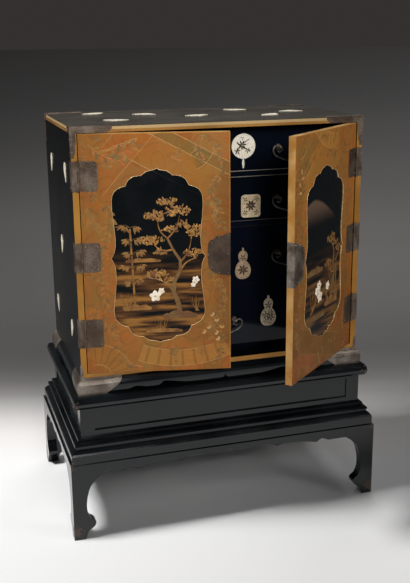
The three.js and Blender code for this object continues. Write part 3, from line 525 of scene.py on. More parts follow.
SILVER = dull_metal("dull_silver", 0.0065, 0.55, SILVER_DULL, SILVER_WORN, SILVER_DARK)
BRONZE = dull_metal("hinge_bronze", 0.0065, 0.6, BRONZE_DULL, BRONZE_WORN, BRONZE_DARK)
PLATE = dull_metal("lock_plate_bronze", 0.0052, 0.75, PLATE_DULL, BRONZE_DULL, BRONZE_DARK)
WRAPPED_PLATE = dull_metal("wrapped_plate_bronze", 0.0036, 0.85, BRONZE_DULL, SILVER_WORN, BRONZE_DARK)
print("metals:", ", ".join(metal.name for metal in (SILVER, BRONZE, PLATE, WRAPPED_PLATE)))

# %% [markdown]
# ## Doors
# Each door is drawn in its own measures: how far from the hinge, how deep, how high. A Mapping node turns
# Object coordinates back into them, so the pattern is square to the door although the door stands open.
# The depth tells face, window and hinge leaf apart, just as it does on the real door.

# %% Door measures
DOORS = {}
for side, way in (("left", 1), ("right", -1)):
    hinge = JOINTS[f"{side}_door_hinge"]
    pivot = Vector(hinge["pos_m"]) - MIDDLE
    opened = -hinge["range_deg"][0] * hinge["axis"][2]
    DOORS[side] = {"pivot": Vector((pivot.x, pivot.y, 0)), "turn": math.radians(opened), "way": way}
FACE_DEPTH = 3.0 * MM
WINDOW_DEPTH = 4.2 * MM
WINDOW_MIDDLE = 147.1 * MM


def door_place(side):
    """The matrix from a door's own measures to the cabinet's axes."""
    door = DOORS[side]
    turned = Matrix.Translation(MIDDLE + door["pivot"]) @ Matrix.Rotation(door["turn"], 4, "Z")
    return turned @ Matrix.Diagonal((door["way"], 1, 1, 1))


def door_coordinates(tree, side, place):
    """Coordinates in a door's own measures: along it, into it and up."""
    door = DOORS[side]
    mapping = put(tree, "ShaderNodeMapping", {"Vector": place}, vector_type="TEXTURE")
    mapping.inputs["Location"].default_value = door["pivot"]
    mapping.inputs["Rotation"].default_value = (0, 0, door["turn"])
    mapping.inputs["Scale"].default_value = (door["way"], 1, 1)
    return mapping.outputs[0]


for side, door in DOORS.items():
    print(side, "door stands open by", round(abs(math.degrees(door["turn"])), 1), "degrees")

# %% [markdown]
# ### Bands and fans of the gold ground
# Slanting bands and open fans in other tones of gold cross the doors, each with a thin pale line along
# its edges. They are common ornaments in a layout of their own. Lists hold their places and a loop lays
# them down one after another, which is how the powders are sprinkled on a real door, and a list is
# quicker to change than a row of nodes.

# %% Bands and fans of the gold ground
# A band has its direction across, middle, half width, the part of the door that it crosses, colour and
# strength. A fan has its pivot, inner and outer reach, aim, half angle, number of ribs and colour.
EVERYWHERE = (0.0, 0.3, 0.0, 1.0)
GROUND_BANDS = {
    "left": [
        ((0.470, 0, 0.883), 0.7570, 0.0301, (0.095, 0.3, 0.70, 1.0), GOLD_YELLOW, 0.45),
        ((0.470, 0, 0.883), 0.7980, 0.0109, EVERYWHERE, GOLD_GREEN, 0.65),
        ((0.753, 0, -0.658), -0.4600, 0.0291, (0.045, 0.15, 0.69, 1.0), GOLD_ORANGE, 0.35),
        ((-0.336, 0, 0.942), 0.7260, 0.0016, (0.042, 0.112, 0.0, 1.0), GOLD_YELLOW, 0.4),
    ],
    "right": [
        ((0.62, 0, 0.785), 0.6900, 0.0400, (0.080, 0.3, 0.70, 1.0), GOLD_YELLOW, 0.50),
        ((0.62, 0, 0.785), 0.7560, 0.0130, EVERYWHERE, GOLD_GREEN, 0.30),
        ((-0.30, 0, 0.954), 0.3300, 0.0240, (0.060, 0.262, 0.0, 1.0), GOLD_GREEN, 0.45),
        ((1.0, 0, 0.0), 0.0150, 0.0090, (0.0, 0.03, 0.36, 0.83), GOLD_ORANGE, 0.5),
    ],
}
GROUND_FANS = {
    "left": [
        ((0.020, 0.335), 0.030, 0.072, 1.0, 0.75, 24, GOLD_YELLOW),
        ((0.205, 0.800), 0.020, 0.052, -0.75, 0.45, 24, GOLD_GREEN),
        ((0.185, 0.600), 0.210, 0.244, -1.52, 0.40, 60, GOLD_BRIGHT),
    ],
    "right": [
        ((0.262, 0.800), 0.022, 0.060, -1.9, 0.60, 24, GOLD_GREEN),
        ((0.030, 0.372), 0.020, 0.055, 0.6, 0.70, 24, GOLD_YELLOW),
        ((0.100, 0.930), 0.120, 0.150, -1.2, 0.42, 60, GOLD_BRIGHT),
    ],
}
LINE_WIDTH = 0.5 * MM


def bands_and_fans(tree, side, along, u, z, ground):
    """Lays bands and fans over the ground. Gives the new ground, and where lines and ribs lie."""
    lines, ribs = 0.0, 0.0
    for way, middle, half, reach, colour, strength in GROUND_BANDS[side]:
        band = use(tree, "band", {"Place": along, "Across": way, "Middle": middle, "Half width": half,
                                  "Line": LINE_WIDTH})
        crossed = both(tree, between(tree, u, *reach[:2]), between(tree, z, *reach[2:]))
        ground = mix(tree, some(tree, both(tree, band["Band"], crossed), strength), ground, colour)
        lines = either(tree, lines, both(tree, band["Lines"], crossed))
    for pivot, inner, outer, aim, half, count, colour in GROUND_FANS[side]:
        fan = use(tree, "fan", {"Place": along, "Pivot": (pivot[0], 0, pivot[1]), "Inner": inner,
                                "Outer": outer, "Aim": aim, "Half angle": half, "Ribs": count})
        ground = mix(tree, some(tree, fan["Field"], 0.5), ground, colour)
        ribs = either(tree, ribs, fan["Ribs"])
        lines = either(tree, lines, fan["Edge"])
    return ground, lines, ribs


print("bands and fans:", {side: (len(GROUND_BANDS[side]), len(GROUND_FANS[side])) for side in DOORS})

# %% [markdown]
# ### Gold ground
# The ground itself is powdered gold of several alloys: broad fields of orange and yellow, with greener
# and ruddier patches, brown veins and pale specks. The free side of each door beside the window is
# darkened towards brown as painted shade. The right door has painted shade at its foot and turns paler
# above, because it stands at another angle to the room and its lamps. Each step lays one more tone over
# the last, so that the order of the lines below is the order of the work.


# %% Gold ground
BORDER_FROM, BORDER_ABOVE = 0.2857, 0.8197
SHADE_FROM, SHADE_TO, SHADE_FOOT, SHADE_HEAD = 0.235, 0.275, 0.40, 0.74
RIGHT_SHADED_TINT, RIGHT_LIT_TINT = (0.80, 0.70, 0.42, 1), (1.10, 1.12, 1.0, 1)
RIGHT_SHADE_LOW, RIGHT_SHADE_HIGH = 0.42, 0.66


def gold_ground(tree, side, along, u, z, tone):
    """The gold of a door's face. Gives its colour and the raised lines on it."""
    broad = use(tree, "mottle", {"Place": along, "Patch scale": 5.5, "Speck scale": 300.0})
    ruddy = use(tree, "mottle", {"Place": along, "Patch scale": 27.0, "Speck scale": 420.0})
    veins = use(tree, "scrollwork", {"Place": along, "Size": 0.048, "Fine": 0.55})["Groove"]
    ground = mix(tree, broad["Patches"], GOLD_ORANGE, GOLD_YELLOW)
    ground = mix(tree, some(tree, tone["Patches"], 0.62), ground, GOLD_GREEN)
    ground = mix(tree, some(tree, ruddy["Patches"], 0.42), ground, GOLD_RED)
    ground = mix(tree, some(tree, veins, 0.28), ground, GOLD_BROWN)
    ground = mix(tree, some(tree, tone["Specks"], 0.22), ground, GOLD_PALE)
    ground, lines, ribs = bands_and_fans(tree, side, along, u, z, ground)
    ground = mix(tree, some(tree, ribs, 0.4), ground, GOLD_BROWN)
    ground = mix(tree, some(tree, lines, 0.45), ground, GOLD_PALE)
    # Painted shade: the free side of the door beside the window is darkened towards brown.
    dull = both(tree, ease(tree, u, SHADE_FROM, SHADE_TO), between(tree, z, SHADE_FOOT, SHADE_HEAD))
    ground = mix(tree, some(tree, dull, 0.45), ground, GOLD_BROWN)
    # Painted shade on the right door: darker at its foot, paler above.
    if side == "right":
        painted_shade_tint = mix(tree, ease(tree, z, RIGHT_SHADE_LOW, RIGHT_SHADE_HIGH), RIGHT_SHADED_TINT, RIGHT_LIT_TINT)
        ground = put(tree, "ShaderNodeMix", {0: 1.0, 6: ground, 7: painted_shade_tint}, data_type="RGBA",
                     blend_type="MULTIPLY").outputs[2]
    border = calc(tree, "GREATER_THAN", u, BORDER_FROM)
    border = either(tree, border, calc(tree, "GREATER_THAN", z, BORDER_ABOVE))
    return mix(tree, some(tree, border, 0.6), ground, GOLD_BRIGHT), calc(tree, "ADD", lines, veins)


print("the right door's gold changes over", round((RIGHT_SHADE_HIGH - RIGHT_SHADE_LOW) * 1000), "mm of height")

# %% [markdown]
# ### Mist and hill in the windows
# Behind the raised pictures, gold powder drifts over the black like mist, thickest towards the water. It
# is a noise that is drawn out sideways. The right window also has a plain round hill that fades at its
# foot. Its slope is a power of the distance from its top, which gives a round back with one line of sums
# and needs no drawing.


# %% Mist and hill
MIST_STRETCH = (5.0, 1.0, 42.0)
MIST_HEAD, MIST_FOOT = 0.60, 0.53
MIST_STRENGTH = {"left": (0.75, 0.75), "right": (0.45, 0.30)}
HILL_MIDDLE, HILL_STEEP, HILL_ROUND, HILL_FALL = 0.196, 9.0, 1.6, 0.055
HILL_OUTSIDE, HILL_INSIDE = 0.694, 0.689
HILL_FADED, HILL_FULL = 0.636, 0.688


def window_black(tree, side, along, u, z):
    """The black behind a picture, with mist, and on the right with a hill."""
    drawn_out = stretched(tree, along, MIST_STRETCH)
    mist = put(tree, "ShaderNodeTexNoise", {"Vector": drawn_out, "Scale": 1.6, "Detail": 4.0}).outputs[0]
    low = ease(tree, z, MIST_HEAD, MIST_FOOT)
    brown, bright = MIST_STRENGTH[side]
    misty = both(tree, ease(tree, mist, 0.36, 0.58), low)
    picture = mix(tree, some(tree, misty, brown), LACQUER_BLACK, GOLD_BROWN)
    sparks = both(tree, ease(tree, mist, 0.50, 0.64), some(tree, low, bright))
    picture = mix(tree, sparks, picture, GOLD_YELLOW)
    if side == "right":
        sideways = some(tree, calc(tree, "ABSOLUTE", calc(tree, "SUBTRACT", u, HILL_MIDDLE)), HILL_STEEP)
        slope = calc(tree, "ADD", z, some(tree, calc(tree, "POWER", sideways, HILL_ROUND), HILL_FALL))
        hill = put(tree, "ShaderNodeMapRange", {0: slope, 1: HILL_OUTSIDE, 2: HILL_INSIDE}).outputs[0]
        picture = mix(tree, both(tree, hill, ease(tree, z, HILL_FADED, HILL_FULL)), picture, HILL_BROWN)
    return picture


print("mist fades between", round(MIST_FOOT * 1000), "and", round(MIST_HEAD * 1000), "mm of height")

# %% [markdown]
# ### The whole door
# The hinge leaves are part of the door's solid, so the door's finish holds their bronze too, with a
# brighter line round each leaf that is a painted highlight. Then the parts are put together by
# depth: leaves stand proud of the face, the window's floor lies behind it, the edges are gold and the
# inner face is black with specks.


# %% Door finish
LEVELS = ("top", "middle", "low")
LEAF_END, LEAF_HIGHLIGHT_FROM, LEAF_HALF = 0.0348, 0.0278, 0.030
LEAF_BEFORE, FACE_BEHIND, BACK_BEHIND = 2.9 * MM, 3.1 * MM, 16.8 * MM
WINDOW_DEPTHS, WINDOW_WIDE, WINDOW_TALL = (3.6 * MM, 6.0 * MM), (0.045, 0.250), (0.39, 0.78)
SIDE_GOLD = (0.480, 0.285, 0.105, 1)


def leaf_bronze(tree, side, along, u, z, patches):
    """Bronze of the hinge leaves, with a painted highlight line round each. Gives its colour and engraving.
    """
    groove = use(tree, "scrollwork", {"Place": along, "Size": 0.0065, "Fine": 0.1})["Groove"]
    bronze = mix(tree, patches, BRONZE_DULL, BRONZE_WORN)
    bronze = mix(tree, some(tree, groove, 0.6), bronze, BRONZE_DARK)
    # The paler line round each leaf is a painted highlight.
    wear_and_highlight = 0.0
    for level in LEVELS:
        low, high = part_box(f"hinge_{side}_{level}")
        off = calc(tree, "ABSOLUTE", calc(tree, "SUBTRACT", z, (low.z + high.z) / 2))
        near_edge = calc(tree, "GREATER_THAN", u, LEAF_END)
        near_edge = either(tree, near_edge, calc(tree, "GREATER_THAN", off, LEAF_HIGHLIGHT_FROM))
        wear_and_highlight = either(tree, wear_and_highlight, both(tree, near_edge, calc(tree, "LESS_THAN", off, LEAF_HALF)))
    return mix(tree, some(tree, wear_and_highlight, 0.7), bronze, SILVER_DULL), groove


def door_finish(side):
    """Gold face, black window, gold edges, black inner face and bronze leaves, told apart by depth."""
    material, tree, shader, place = finish(f"{side}_door_gold")
    along = door_coordinates(tree, side, place)
    u, depth, z = put(tree, "ShaderNodeSeparateXYZ", {0: along}).outputs
    tone = use(tree, "mottle", {"Place": along, "Patch scale": 17.0, "Speck scale": 700.0})
    ground, raised = gold_ground(tree, side, along, u, z, tone)
    picture = window_black(tree, side, along, u, z)
    bronze, groove = leaf_bronze(tree, side, along, u, z, tone["Patches"])
    edge = mix(tree, tone["Patches"], GOLD_YELLOW, SIDE_GOLD)
    inside = mix(tree, some(tree, tone["Specks"], 0.5), LACQUER_BLACK, GOLD_BROWN)

    window = both(tree, between(tree, depth, *WINDOW_DEPTHS), between(tree, u, *WINDOW_WIDE))
    window = both(tree, window, between(tree, z, *WINDOW_TALL))
    metal = calc(tree, "LESS_THAN", depth, LEAF_BEFORE)
    edges = both(tree, calc(tree, "GREATER_THAN", depth, FACE_BEHIND), rest(tree, window))
    back = calc(tree, "GREATER_THAN", depth, BACK_BEHIND)
    colour = mix(tree, window, ground, picture)
    colour = mix(tree, edges, colour, edge)
    colour = mix(tree, back, colour, inside)
    colour = mix(tree, metal, colour, bronze)

    black = either(tree, window, back)
    rough = calc(tree, "ADD", 0.26, some(tree, tone["Patches"], 0.12))
    rough = calc(tree, "SUBTRACT", rough, some(tree, black, 0.10))
    rough = calc(tree, "ADD", rough, some(tree, metal, 0.12))
    gilt = calc(tree, "SUBTRACT", 0.25, some(tree, black, 0.25))
    metallic = either(tree, gilt, some(tree, metal, 0.75))
    feed(tree, shader, Base_Color=colour, Roughness=rough, Metallic=metallic, Specular_IOR_Level=0.15)
    bumped(tree, shader, calc(tree, "SUBTRACT", raised, both(tree, metal, groove)), 0.25, 0.0003)
    return material


DOOR_GOLD = {side: door_finish(side) for side in DOORS}
for side, material in DOOR_GOLD.items():
    print(material.name, "has", len(material.node_tree.nodes), "nodes")

# %% [markdown]
# ## Drawer fronts
# The fronts are the glossiest lacquer of all, a black with blue in it. Along some of their long edges a
# fine bright line is painted as a highlight, strong on some edges and missing on others. The handle posts
# and the carved plaque are proud of the front, so again their place names them. The four plaques have
# aged apart: the first is almost white and the third brown.


# %% Drawer finish
IVORY = {
    1: ((0.900, 0.840, 0.720, 1), (0.820, 0.720, 0.560, 1)),
    2: ((0.860, 0.690, 0.450, 1), (0.640, 0.480, 0.290, 1)),
    3: ((0.520, 0.370, 0.230, 1), (0.300, 0.200, 0.120, 1)),
    4: ((0.880, 0.760, 0.570, 1), (0.600, 0.470, 0.310, 1)),
}
STAIN = {1: 0.35, 2: 0.75, 3: 0.80, 4: 0.80}
PLAQUES = {1: (0.0555, 0.0300), 2: (0.0720, 0.0260), 3: (0.0550, 0.0230), 4: (0.1125, 0.0230)}
EDGE_HIGHLIGHT_STRENGTH = {1: (0.0, 0.75), 2: (0.60, 0.20), 3: (0.03, 0.0), 4: (0.0, 0.0)}
EDGE_WIDTH = 1.6 * MM
PROUD_FROM = -127.1 * MM
DISC_FOOT = 754.0 * MM


def edge_highlights(tree, number, z):
    """Painted highlights along the upper and lower edge of one front, each with its own strength."""
    low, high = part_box(f"drawer_{number}_front")
    at_head, at_foot = EDGE_HIGHLIGHT_STRENGTH[number]
    head = calc(tree, "LESS_THAN", calc(tree, "SUBTRACT", high.z, z), EDGE_WIDTH)
    foot = calc(tree, "LESS_THAN", calc(tree, "SUBTRACT", z, low.z), EDGE_WIDTH)
    return either(tree, some(tree, head, at_head), some(tree, foot, at_foot))


def stained_ivory(tree, number, z, patches, groove):
    """The plaque's stained ivory. On the first front, what hangs below the disc stays dark."""
    ivory = mix(tree, patches, *IVORY[number])
    ivory = mix(tree, some(tree, groove, STAIN[number]), ivory, SHELL_LINE)
    if number == 1:
        ivory = mix(tree, calc(tree, "LESS_THAN", z, DISC_FOOT), ivory, LACQUER_NAVY)
    return ivory


def drawer_finish(number):
    """Blue-black gloss with painted edge highlights, bronze handle posts and an ivory plaque."""
    material, tree, shader, place = finish(f"drawer_{number}_lacquer")
    x, y, z = put(tree, "ShaderNodeSeparateXYZ", {0: place}).outputs
    tone = use(tree, "mottle", {"Place": place, "Patch scale": 5.0, "Speck scale": 900.0})
    groove = use(tree, "scrollwork", {"Place": place, "Size": 0.0065, "Fine": 0.35})["Groove"]
    proud = calc(tree, "LESS_THAN", y, PROUD_FROM)
    middle, half = PLAQUES[number]
    beside = calc(tree, "ABSOLUTE", calc(tree, "SUBTRACT", x, middle))
    plaque_part = both(tree, proud, calc(tree, "LESS_THAN", beside, half))
    post = calc(tree, "SUBTRACT", proud, plaque_part)
    navy = mix(tree, some(tree, tone["Patches"], 0.5), LACQUER_NAVY, LACQUER_BLACK)
    # The fine lines along the edges are painted highlights in the worn silver tone.
    front = mix(tree, both(tree, edge_highlights(tree, number, z), rest(tree, proud)), navy, SILVER_WORN)
    colour = mix(tree, plaque_part, front, stained_ivory(tree, number, z, tone["Patches"], groove))
    colour = mix(tree, post, colour, BRONZE_WORN)
    rough = calc(tree, "ADD", 0.07, some(tree, tone["Patches"], 0.05))
    rough = calc(tree, "ADD", rough, some(tree, proud, 0.3))
    metallic = some(tree, post, 0.75)
    feed(tree, shader, Base_Color=colour, Roughness=rough, Metallic=metallic, Specular_IOR_Level=0.25)
    bumped(tree, shader, calc(tree, "SUBTRACT", 0.0, both(tree, plaque_part, groove)), 0.3, 0.0004)
    return material


FRONTS = {number: drawer_finish(number) for number in PLAQUES}
print("drawer fronts:", ", ".join(front.name for front in FRONTS.values()))

# %% [markdown]
# ## Plain wood, gold and shell
# The drawers' boxes are bare brown wood with a straight grain, made by stretching a noise along the
# board. Relief gold and shell are used on the fine pieces that come later. A piece of relief is small, so
# two tones and a fine bump are enough for it, and one function can make every gold by taking the two
# tones.


# %% Wood, relief gold and shell
WOOD_STRETCH = (3.0, 40.0, 90.0)
RIM_GOLD = (0.800, 0.600, 0.330, 1)


def drawer_wood():
    """Bare wood with its grain along the drawer's width."""
    material, tree, shader, place = finish("drawer_wood")
    grain = stretched(tree, place, WOOD_STRETCH)
    fibres = put(tree, "ShaderNodeTexNoise", {"Vector": grain, "Scale": 2.0, "Detail": 6.0})
    colour = mix(tree, fibres.outputs[0], WOOD_BROWN, LACQUER_BROWN)
    feed(tree, shader, Base_Color=colour, Roughness=0.6)
    bumped(tree, shader, fibres.outputs[0], 0.2, 0.0005)
    return material


def relief_gold(name, light, dark, roughness):
    """Gold, or another inlay, in two tones that change within a few millimetres."""
    material, tree, shader, place = finish(name)
    tone = use(tree, "mottle", {"Place": place, "Patch scale": 60.0, "Speck scale": 2200.0})
    colour = mix(tree, tone["Patches"], light, dark)
    feed(tree, shader, Base_Color=colour, Roughness=roughness, Metallic=0.3)
    bumped(tree, shader, tone["Specks"], 0.15, 0.0002)
    return material


def shell_white():
    """White shell, yellowed in patches."""
    material, tree, shader, place = finish("shell_white")
    tone = use(tree, "mottle", {"Place": place, "Patch scale": 90.0, "Speck scale": 1800.0})
    colour = mix(tree, some(tree, tone["Patches"], 0.4), SHELL_WHITE, GOLD_PALE)
    feed(tree, shader, Base_Color=colour, Roughness=0.4)
    return material


WOOD = drawer_wood()
RELIEF = relief_gold("relief_gold", GOLD_YELLOW, GOLD_BROWN, 0.35)
RIM = relief_gold("rim_gold", RIM_GOLD, GOLD_PALE, 0.3)
SHELL = shell_white()
print("plain finishes:", ", ".join(plain.name for plain in (WOOD, RELIEF, RIM, SHELL)))

# %% [markdown]
# ## Dressing the solids
# Each solid wears one finish, chosen by what it is, and its name says what it is. A finish goes into the
# first material slot, and the solid's own mesh isn't touched.


# %% Dress the solids
def finish_of(node):
    """The finish that a solid wears, by what it is."""
    if node.startswith("drawer_") and node.endswith("_front"):
        return FRONTS[int(node.split("_")[1])]
    if node.endswith("_box"):
        return WOOD
    if node in ("left_door", "right_door"):
        return DOOR_GOLD[node.split("_")[0]]
    if "lock_plate" in node:
        return WRAPPED_PLATE if node.startswith("right") else PLATE
    if node.startswith(("hinge_", "top_mount")):
        return BRONZE
    if node.startswith("dust_board"):
        return INNER
    if node in ("case_left", "case_right"):
        return CASE_SIDE
    if node.startswith("case_"):
        return CASE
    if node.startswith(("stand_", "apron_", "leg_", "plinth_")):
        return STAND
    return SILVER


for name, solid in nodes.items():
    solid.data.materials.clear()
    solid.data.materials.append(finish_of(name))
print("dressed", len(nodes), "solids")

# %% [markdown]
# ## Pieces laid on the doors
# The solids stop at the shapes that carry weight. The rest is surface craft, and each sort of craft is
# built as its own piece, which rides on the door, drawer or case that it is fixed to. A piece starts as a
# bmesh, is shaped with bmesh operators, and becomes a mesh with one or more finishes.


# %% Helpers for pieces
SAME_LEVEL = 0.05 * MM
SAME_POINT = 0.01 * MM


def piece(name, bm, materials, body, smooth_angle=35):
    """Turns a bmesh into a named piece that moves with one body of the cabinet."""
    bmesh.ops.recalc_face_normals(bm, faces=bm.faces)
    mesh = bpy.data.meshes.new(name)
    bm.to_mesh(mesh)
    bm.free()
    for material in materials:
        mesh.materials.append(material)
    mesh.shade_smooth()
    mesh.set_sharp_from_angle(angle=math.radians(smooth_angle))
    made = bpy.data.objects.new(name, mesh)
    bpy.context.scene.collection.objects.link(made)
    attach(made, body)
    return made


def paint(faces, index):
    """Gives faces one of their piece's finishes."""
    for face in faces:
        face.material_index = index


def faces_of(verts):
    """Every face that touches one of these points."""
    return {face for vert in verts for face in vert.link_faces}


def points_of(geometry):
    """The points in what an operator made."""
    return [part for part in geometry if isinstance(part, bmesh.types.BMVert)]


def faces_at(bm, axis, level):
    """Keeps only the faces that lie flat at one level of an axis, and joins their corners."""
    others = [face for face in bm.faces if any(abs(v.co[axis] - level) > SAME_LEVEL for v in face.verts)]
    bmesh.ops.delete(bm, geom=others, context="FACES")
    bmesh.ops.remove_doubles(bm, verts=bm.verts, dist=SAME_POINT)


print("the left door's solid has", len(nodes["left_door"].data.polygons), "faces to pick from")

# %% [markdown]
# ### Gold rim of each window
# A thin bead of pale gold follows the lobed edge of the window. The solid already holds that edge, so the
# rim is cut from it: the window's floor is picked out by its depth, widened and narrowed a little, and
# the band between the two is raised. This way the bead can't miss the window, however the outline is
# drawn.


# %% Rims
RIM_OUTER = 1.1 * MM
RIM_INNER = 0.7 * MM
RIM_RISE = 0.45 * MM
RIM_ROUND = 0.3 * MM


def window_floor(side):
    """The floor of a door's window as one flat face, in the door's own measures."""
    bm = bmesh.new()
    bm.from_mesh(nodes[f"{side}_door"].data)
    bmesh.ops.transform(bm, matrix=door_place(side).inverted(), verts=bm.verts)
    faces_at(bm, 1, WINDOW_DEPTH)
    bmesh.ops.dissolve_faces(bm, faces=bm.faces)
    return bm


def window_rim(side):
    """A rounded bead along the edge of a door's window."""
    bm = window_floor(side)
    inside = bm.faces[:]
    outer = bmesh.ops.inset_region(bm, faces=inside, thickness=RIM_OUTER, use_outset=True, use_boundary=True)
    inner = bmesh.ops.inset_region(bm, faces=inside, thickness=RIM_INNER, use_boundary=True)
    band = set(outer["faces"] + inner["faces"])
    bmesh.ops.delete(bm, geom=[face for face in bm.faces if face not in band], context="FACES")
    top = points_of(bmesh.ops.extrude_face_region(bm, geom=bm.faces[:])["geom"])
    bmesh.ops.translate(bm, verts=top, vec=(0, FACE_DEPTH - RIM_RISE - WINDOW_DEPTH, 0))
    bm.normal_update()
    upper = set(top)
    walls = {e for face in bm.faces if abs(face.normal.y) < 0.5 for e in face.edges}
    edges = [e for e in bm.edges if e in walls and set(e.verts) <= upper]
    bmesh.ops.bevel(bm, geom=edges, offset=RIM_ROUND, segments=2, profile=0.5, affect="EDGES", material=-1)
    bmesh.ops.transform(bm, matrix=door_place(side), verts=bm.verts)
    return piece(f"{side}_window_rim", bm, [RIM], f"{side}_door", smooth_angle=50)


for side in DOORS:
    rim = window_rim(side)
    print(rim.name, len(rim.data.polygons), "faces")

# %% [markdown]
# ### Leaves, blossoms and stems
# The pictures are built from a few small shapes that are repeated many times: a blade with a ridge along
# its middle, a blossom of five blades, and a stem that tapers along a bent line. All of them are drawn in
# the picture's plane and then placed on the door, with their backs sunk in the lacquer so that no gap
# shows.


# %% Small shapes
EYE_SHARE = 0.22


def blade(bm, root, angle, length, width, base, rise, index=0):
    """A pointed leaf with a ridge, lying in the door's plane. Base is the depth of what carries it."""
    turn = Matrix.Translation(Vector((root[0], base, root[1]))) @ Matrix.Rotation(-angle, 4, "Y")
    flat = turn @ Matrix.Rotation(math.pi / 2, 4, "X")
    made = bmesh.ops.create_circle(bm, cap_ends=True, segments=8, radius=1)["verts"]
    for vert in made:
        along, across_leaf = vert.co.x, vert.co.y
        slimmed = 1 - 0.55 * abs(along) ** 3
        vert.co = Vector(((along + 1) * length / 2, across_leaf * width / 2 * slimmed, 0))
    middle = bmesh.ops.poke(bm, faces=list(faces_of(made)), offset=0)
    for vert in middle["verts"]:
        vert.co.z += rise
    everything = made + middle["verts"]
    bmesh.ops.transform(bm, matrix=flat, verts=everything)
    paint(faces_of(everything), index)
    return everything


def blossom(bm, place, radius, base, rise, turn=0.0, index=0, petals=5):
    """A flower of five broad petals round a small raised eye."""
    for petal in range(petals):
        blade(bm, place, turn + 2 * math.pi * petal / petals, radius, radius * 0.85, base, rise, index)
    eye_place = Matrix.Translation(Vector((place[0], base, place[1])))
    eye_size = radius * EYE_SHARE
    eye_made = bmesh.ops.create_icosphere(bm, subdivisions=1, radius=eye_size, matrix=eye_place)["verts"]
    paint(faces_of(eye_made), index + 1)


def stem(bm, path, start_width, end_width, base, rise, index=0):
    """A tapering stem along a bent line, with a rounded back."""
    count = len(path)
    previous = None
    for i, point in enumerate(path):
        ahead = Vector(path[min(i + 1, count - 1)]) - Vector(path[max(i - 1, 0)])
        angle = math.atan2(ahead.y, ahead.x)
        share = i / (count - 1)
        width = start_width + (end_width - start_width) * share
        ring = bmesh.ops.create_circle(bm, segments=6, radius=1)["verts"]
        stand = Matrix.Translation(Vector((point[0], base, point[1]))) @ Matrix.Rotation(-angle, 4, "Y")
        upright_ring = stand @ Matrix.Rotation(math.pi / 2, 4, "Y") @ Matrix.Diagonal((width / 2, rise, 1, 1))
        bmesh.ops.transform(bm, matrix=upright_ring, verts=ring)
        edges = {e for v in ring for e in v.link_edges if e.other_vert(v) in set(ring)}
        if previous:
            faces = bmesh.ops.bridge_loops(bm, edges=list(edges | previous))["faces"]
            paint(faces, index)
        previous = edges


def bent(start, end, sag, steps=6):
    """Points along a line that bows to one side by its sag."""
    start, end = Vector(start), Vector(end)
    side_way = Vector((-(end - start).y, (end - start).x)).normalized()
    shares = [i / steps for i in range(steps + 1)]
    return [start.lerp(end, share) + side_way * sag * math.sin(math.pi * share) for share in shares]


print("small shapes:", blade.__name__, blossom.__name__, stem.__name__, "on a", bent.__name__, "line")

# %% [markdown]
# ### Pictures in the windows
# Each window holds a small landscape in raised gold on black. On the left, a blossoming tree leans over a
# misty shore, with bamboo behind it. On the right, reeds and a second tree stand before a round hill.
# Trunks are stems with a few bends, foliage is many small blades thrown into a flat oval, and bamboo is a
# row of short stems with a gap at each joint. Chance, started from a fixed seed, keeps the leaves from
# lining up, and gives the same picture each time.

# %% Picture shapes
chance = random.Random(7)
RELIEF_GREEN = relief_gold("relief_green_gold", GOLD_GREEN, GOLD_YELLOW, 0.4)
RELIEF_DARK = relief_gold("relief_dark_gold", GOLD_BROWN, GOLD_GREEN, 0.45)
RELIEF_BRIGHT = relief_gold("relief_bright_gold", GOLD_BRIGHT, GOLD_YELLOW, 0.35)
PICTURE_FINISHES = [RELIEF, RELIEF_GREEN, RELIEF_DARK, SHELL, RIM, RELIEF_BRIGHT]
OLD_GOLD, GREEN_GOLD, DARK_GOLD, WHITE, EYE_GOLD, BRIGHT_GOLD = range(6)
BED = WINDOW_DEPTH
LEAF_RISE = 0.5 * MM


def leaf_fan(bm, root, aim, leaves, length, width, spread, finishes=(GREEN_GOLD, OLD_GOLD)):
    """Leaves that spread from one point."""
    for i in range(leaves):
        share = i / (leaves - 1) - 0.5 if leaves > 1 else 0.0
        angle = aim + spread * share + chance.uniform(-0.12, 0.12)
        size = chance.uniform(0.75, 1.15)
        blade(bm, root, angle, length * size, width * size, BED, LEAF_RISE, chance.choice(finishes))


def foliage(bm, middle, wide, tall, leaves, finishes, length=6.5):
    """A flat oval of small leaves, closest together along its top."""
    for _ in range(leaves):
        turn = chance.uniform(0, math.pi * 2)
        reach = math.sqrt(chance.uniform(0, 1))
        x, z = wide / 2 * reach * math.cos(turn), tall / 2 * reach * math.sin(turn)
        root = (middle[0] + x * MM, middle[1] + z * MM)
        aim = math.pi / 2 + chance.uniform(-1.3, 1.3)
        size = length * chance.uniform(0.7, 1.25) * MM
        blade(bm, root, aim, size, size * 0.5, BED, LEAF_RISE, chance.choice(finishes))


print("a picture's finishes:", ", ".join(gold.name for gold in PICTURE_FINISHES))

# %% [markdown]
# ### Trees, bamboo and banks
# A tree, a stalk of bamboo, a tuft of reeds and a bank are each one function, because every picture needs
# them in other places and sizes. A function that grows a plant from a few bends looks freer than a drawn
# outline, and a change to it reaches both windows.


# %% Trees, bamboo and banks
def grown_tree(bm, foot, trunk, boughs, crowns, finishes):
    """A trunk and boughs along bent lines, and ovals of foliage. All are in millimetres from the foot."""
    def at(point):
        """A point in metres, from millimetres off the foot."""
        return Vector(foot) + Vector(point) * MM

    stem(bm, [at(p) for p in trunk], 12 * MM, 4.5 * MM, BED, 1.1 * MM, DARK_GOLD)
    for start, end, sag, width in boughs:
        stem(bm, bent(at(start), at(end), sag * MM, 8), width * MM, 1.4 * MM, BED, 0.7 * MM, OLD_GOLD)
    for x, z, wide, tall, leaves in crowns:
        foliage(bm, at((x, z)), wide, tall, leaves, finishes)


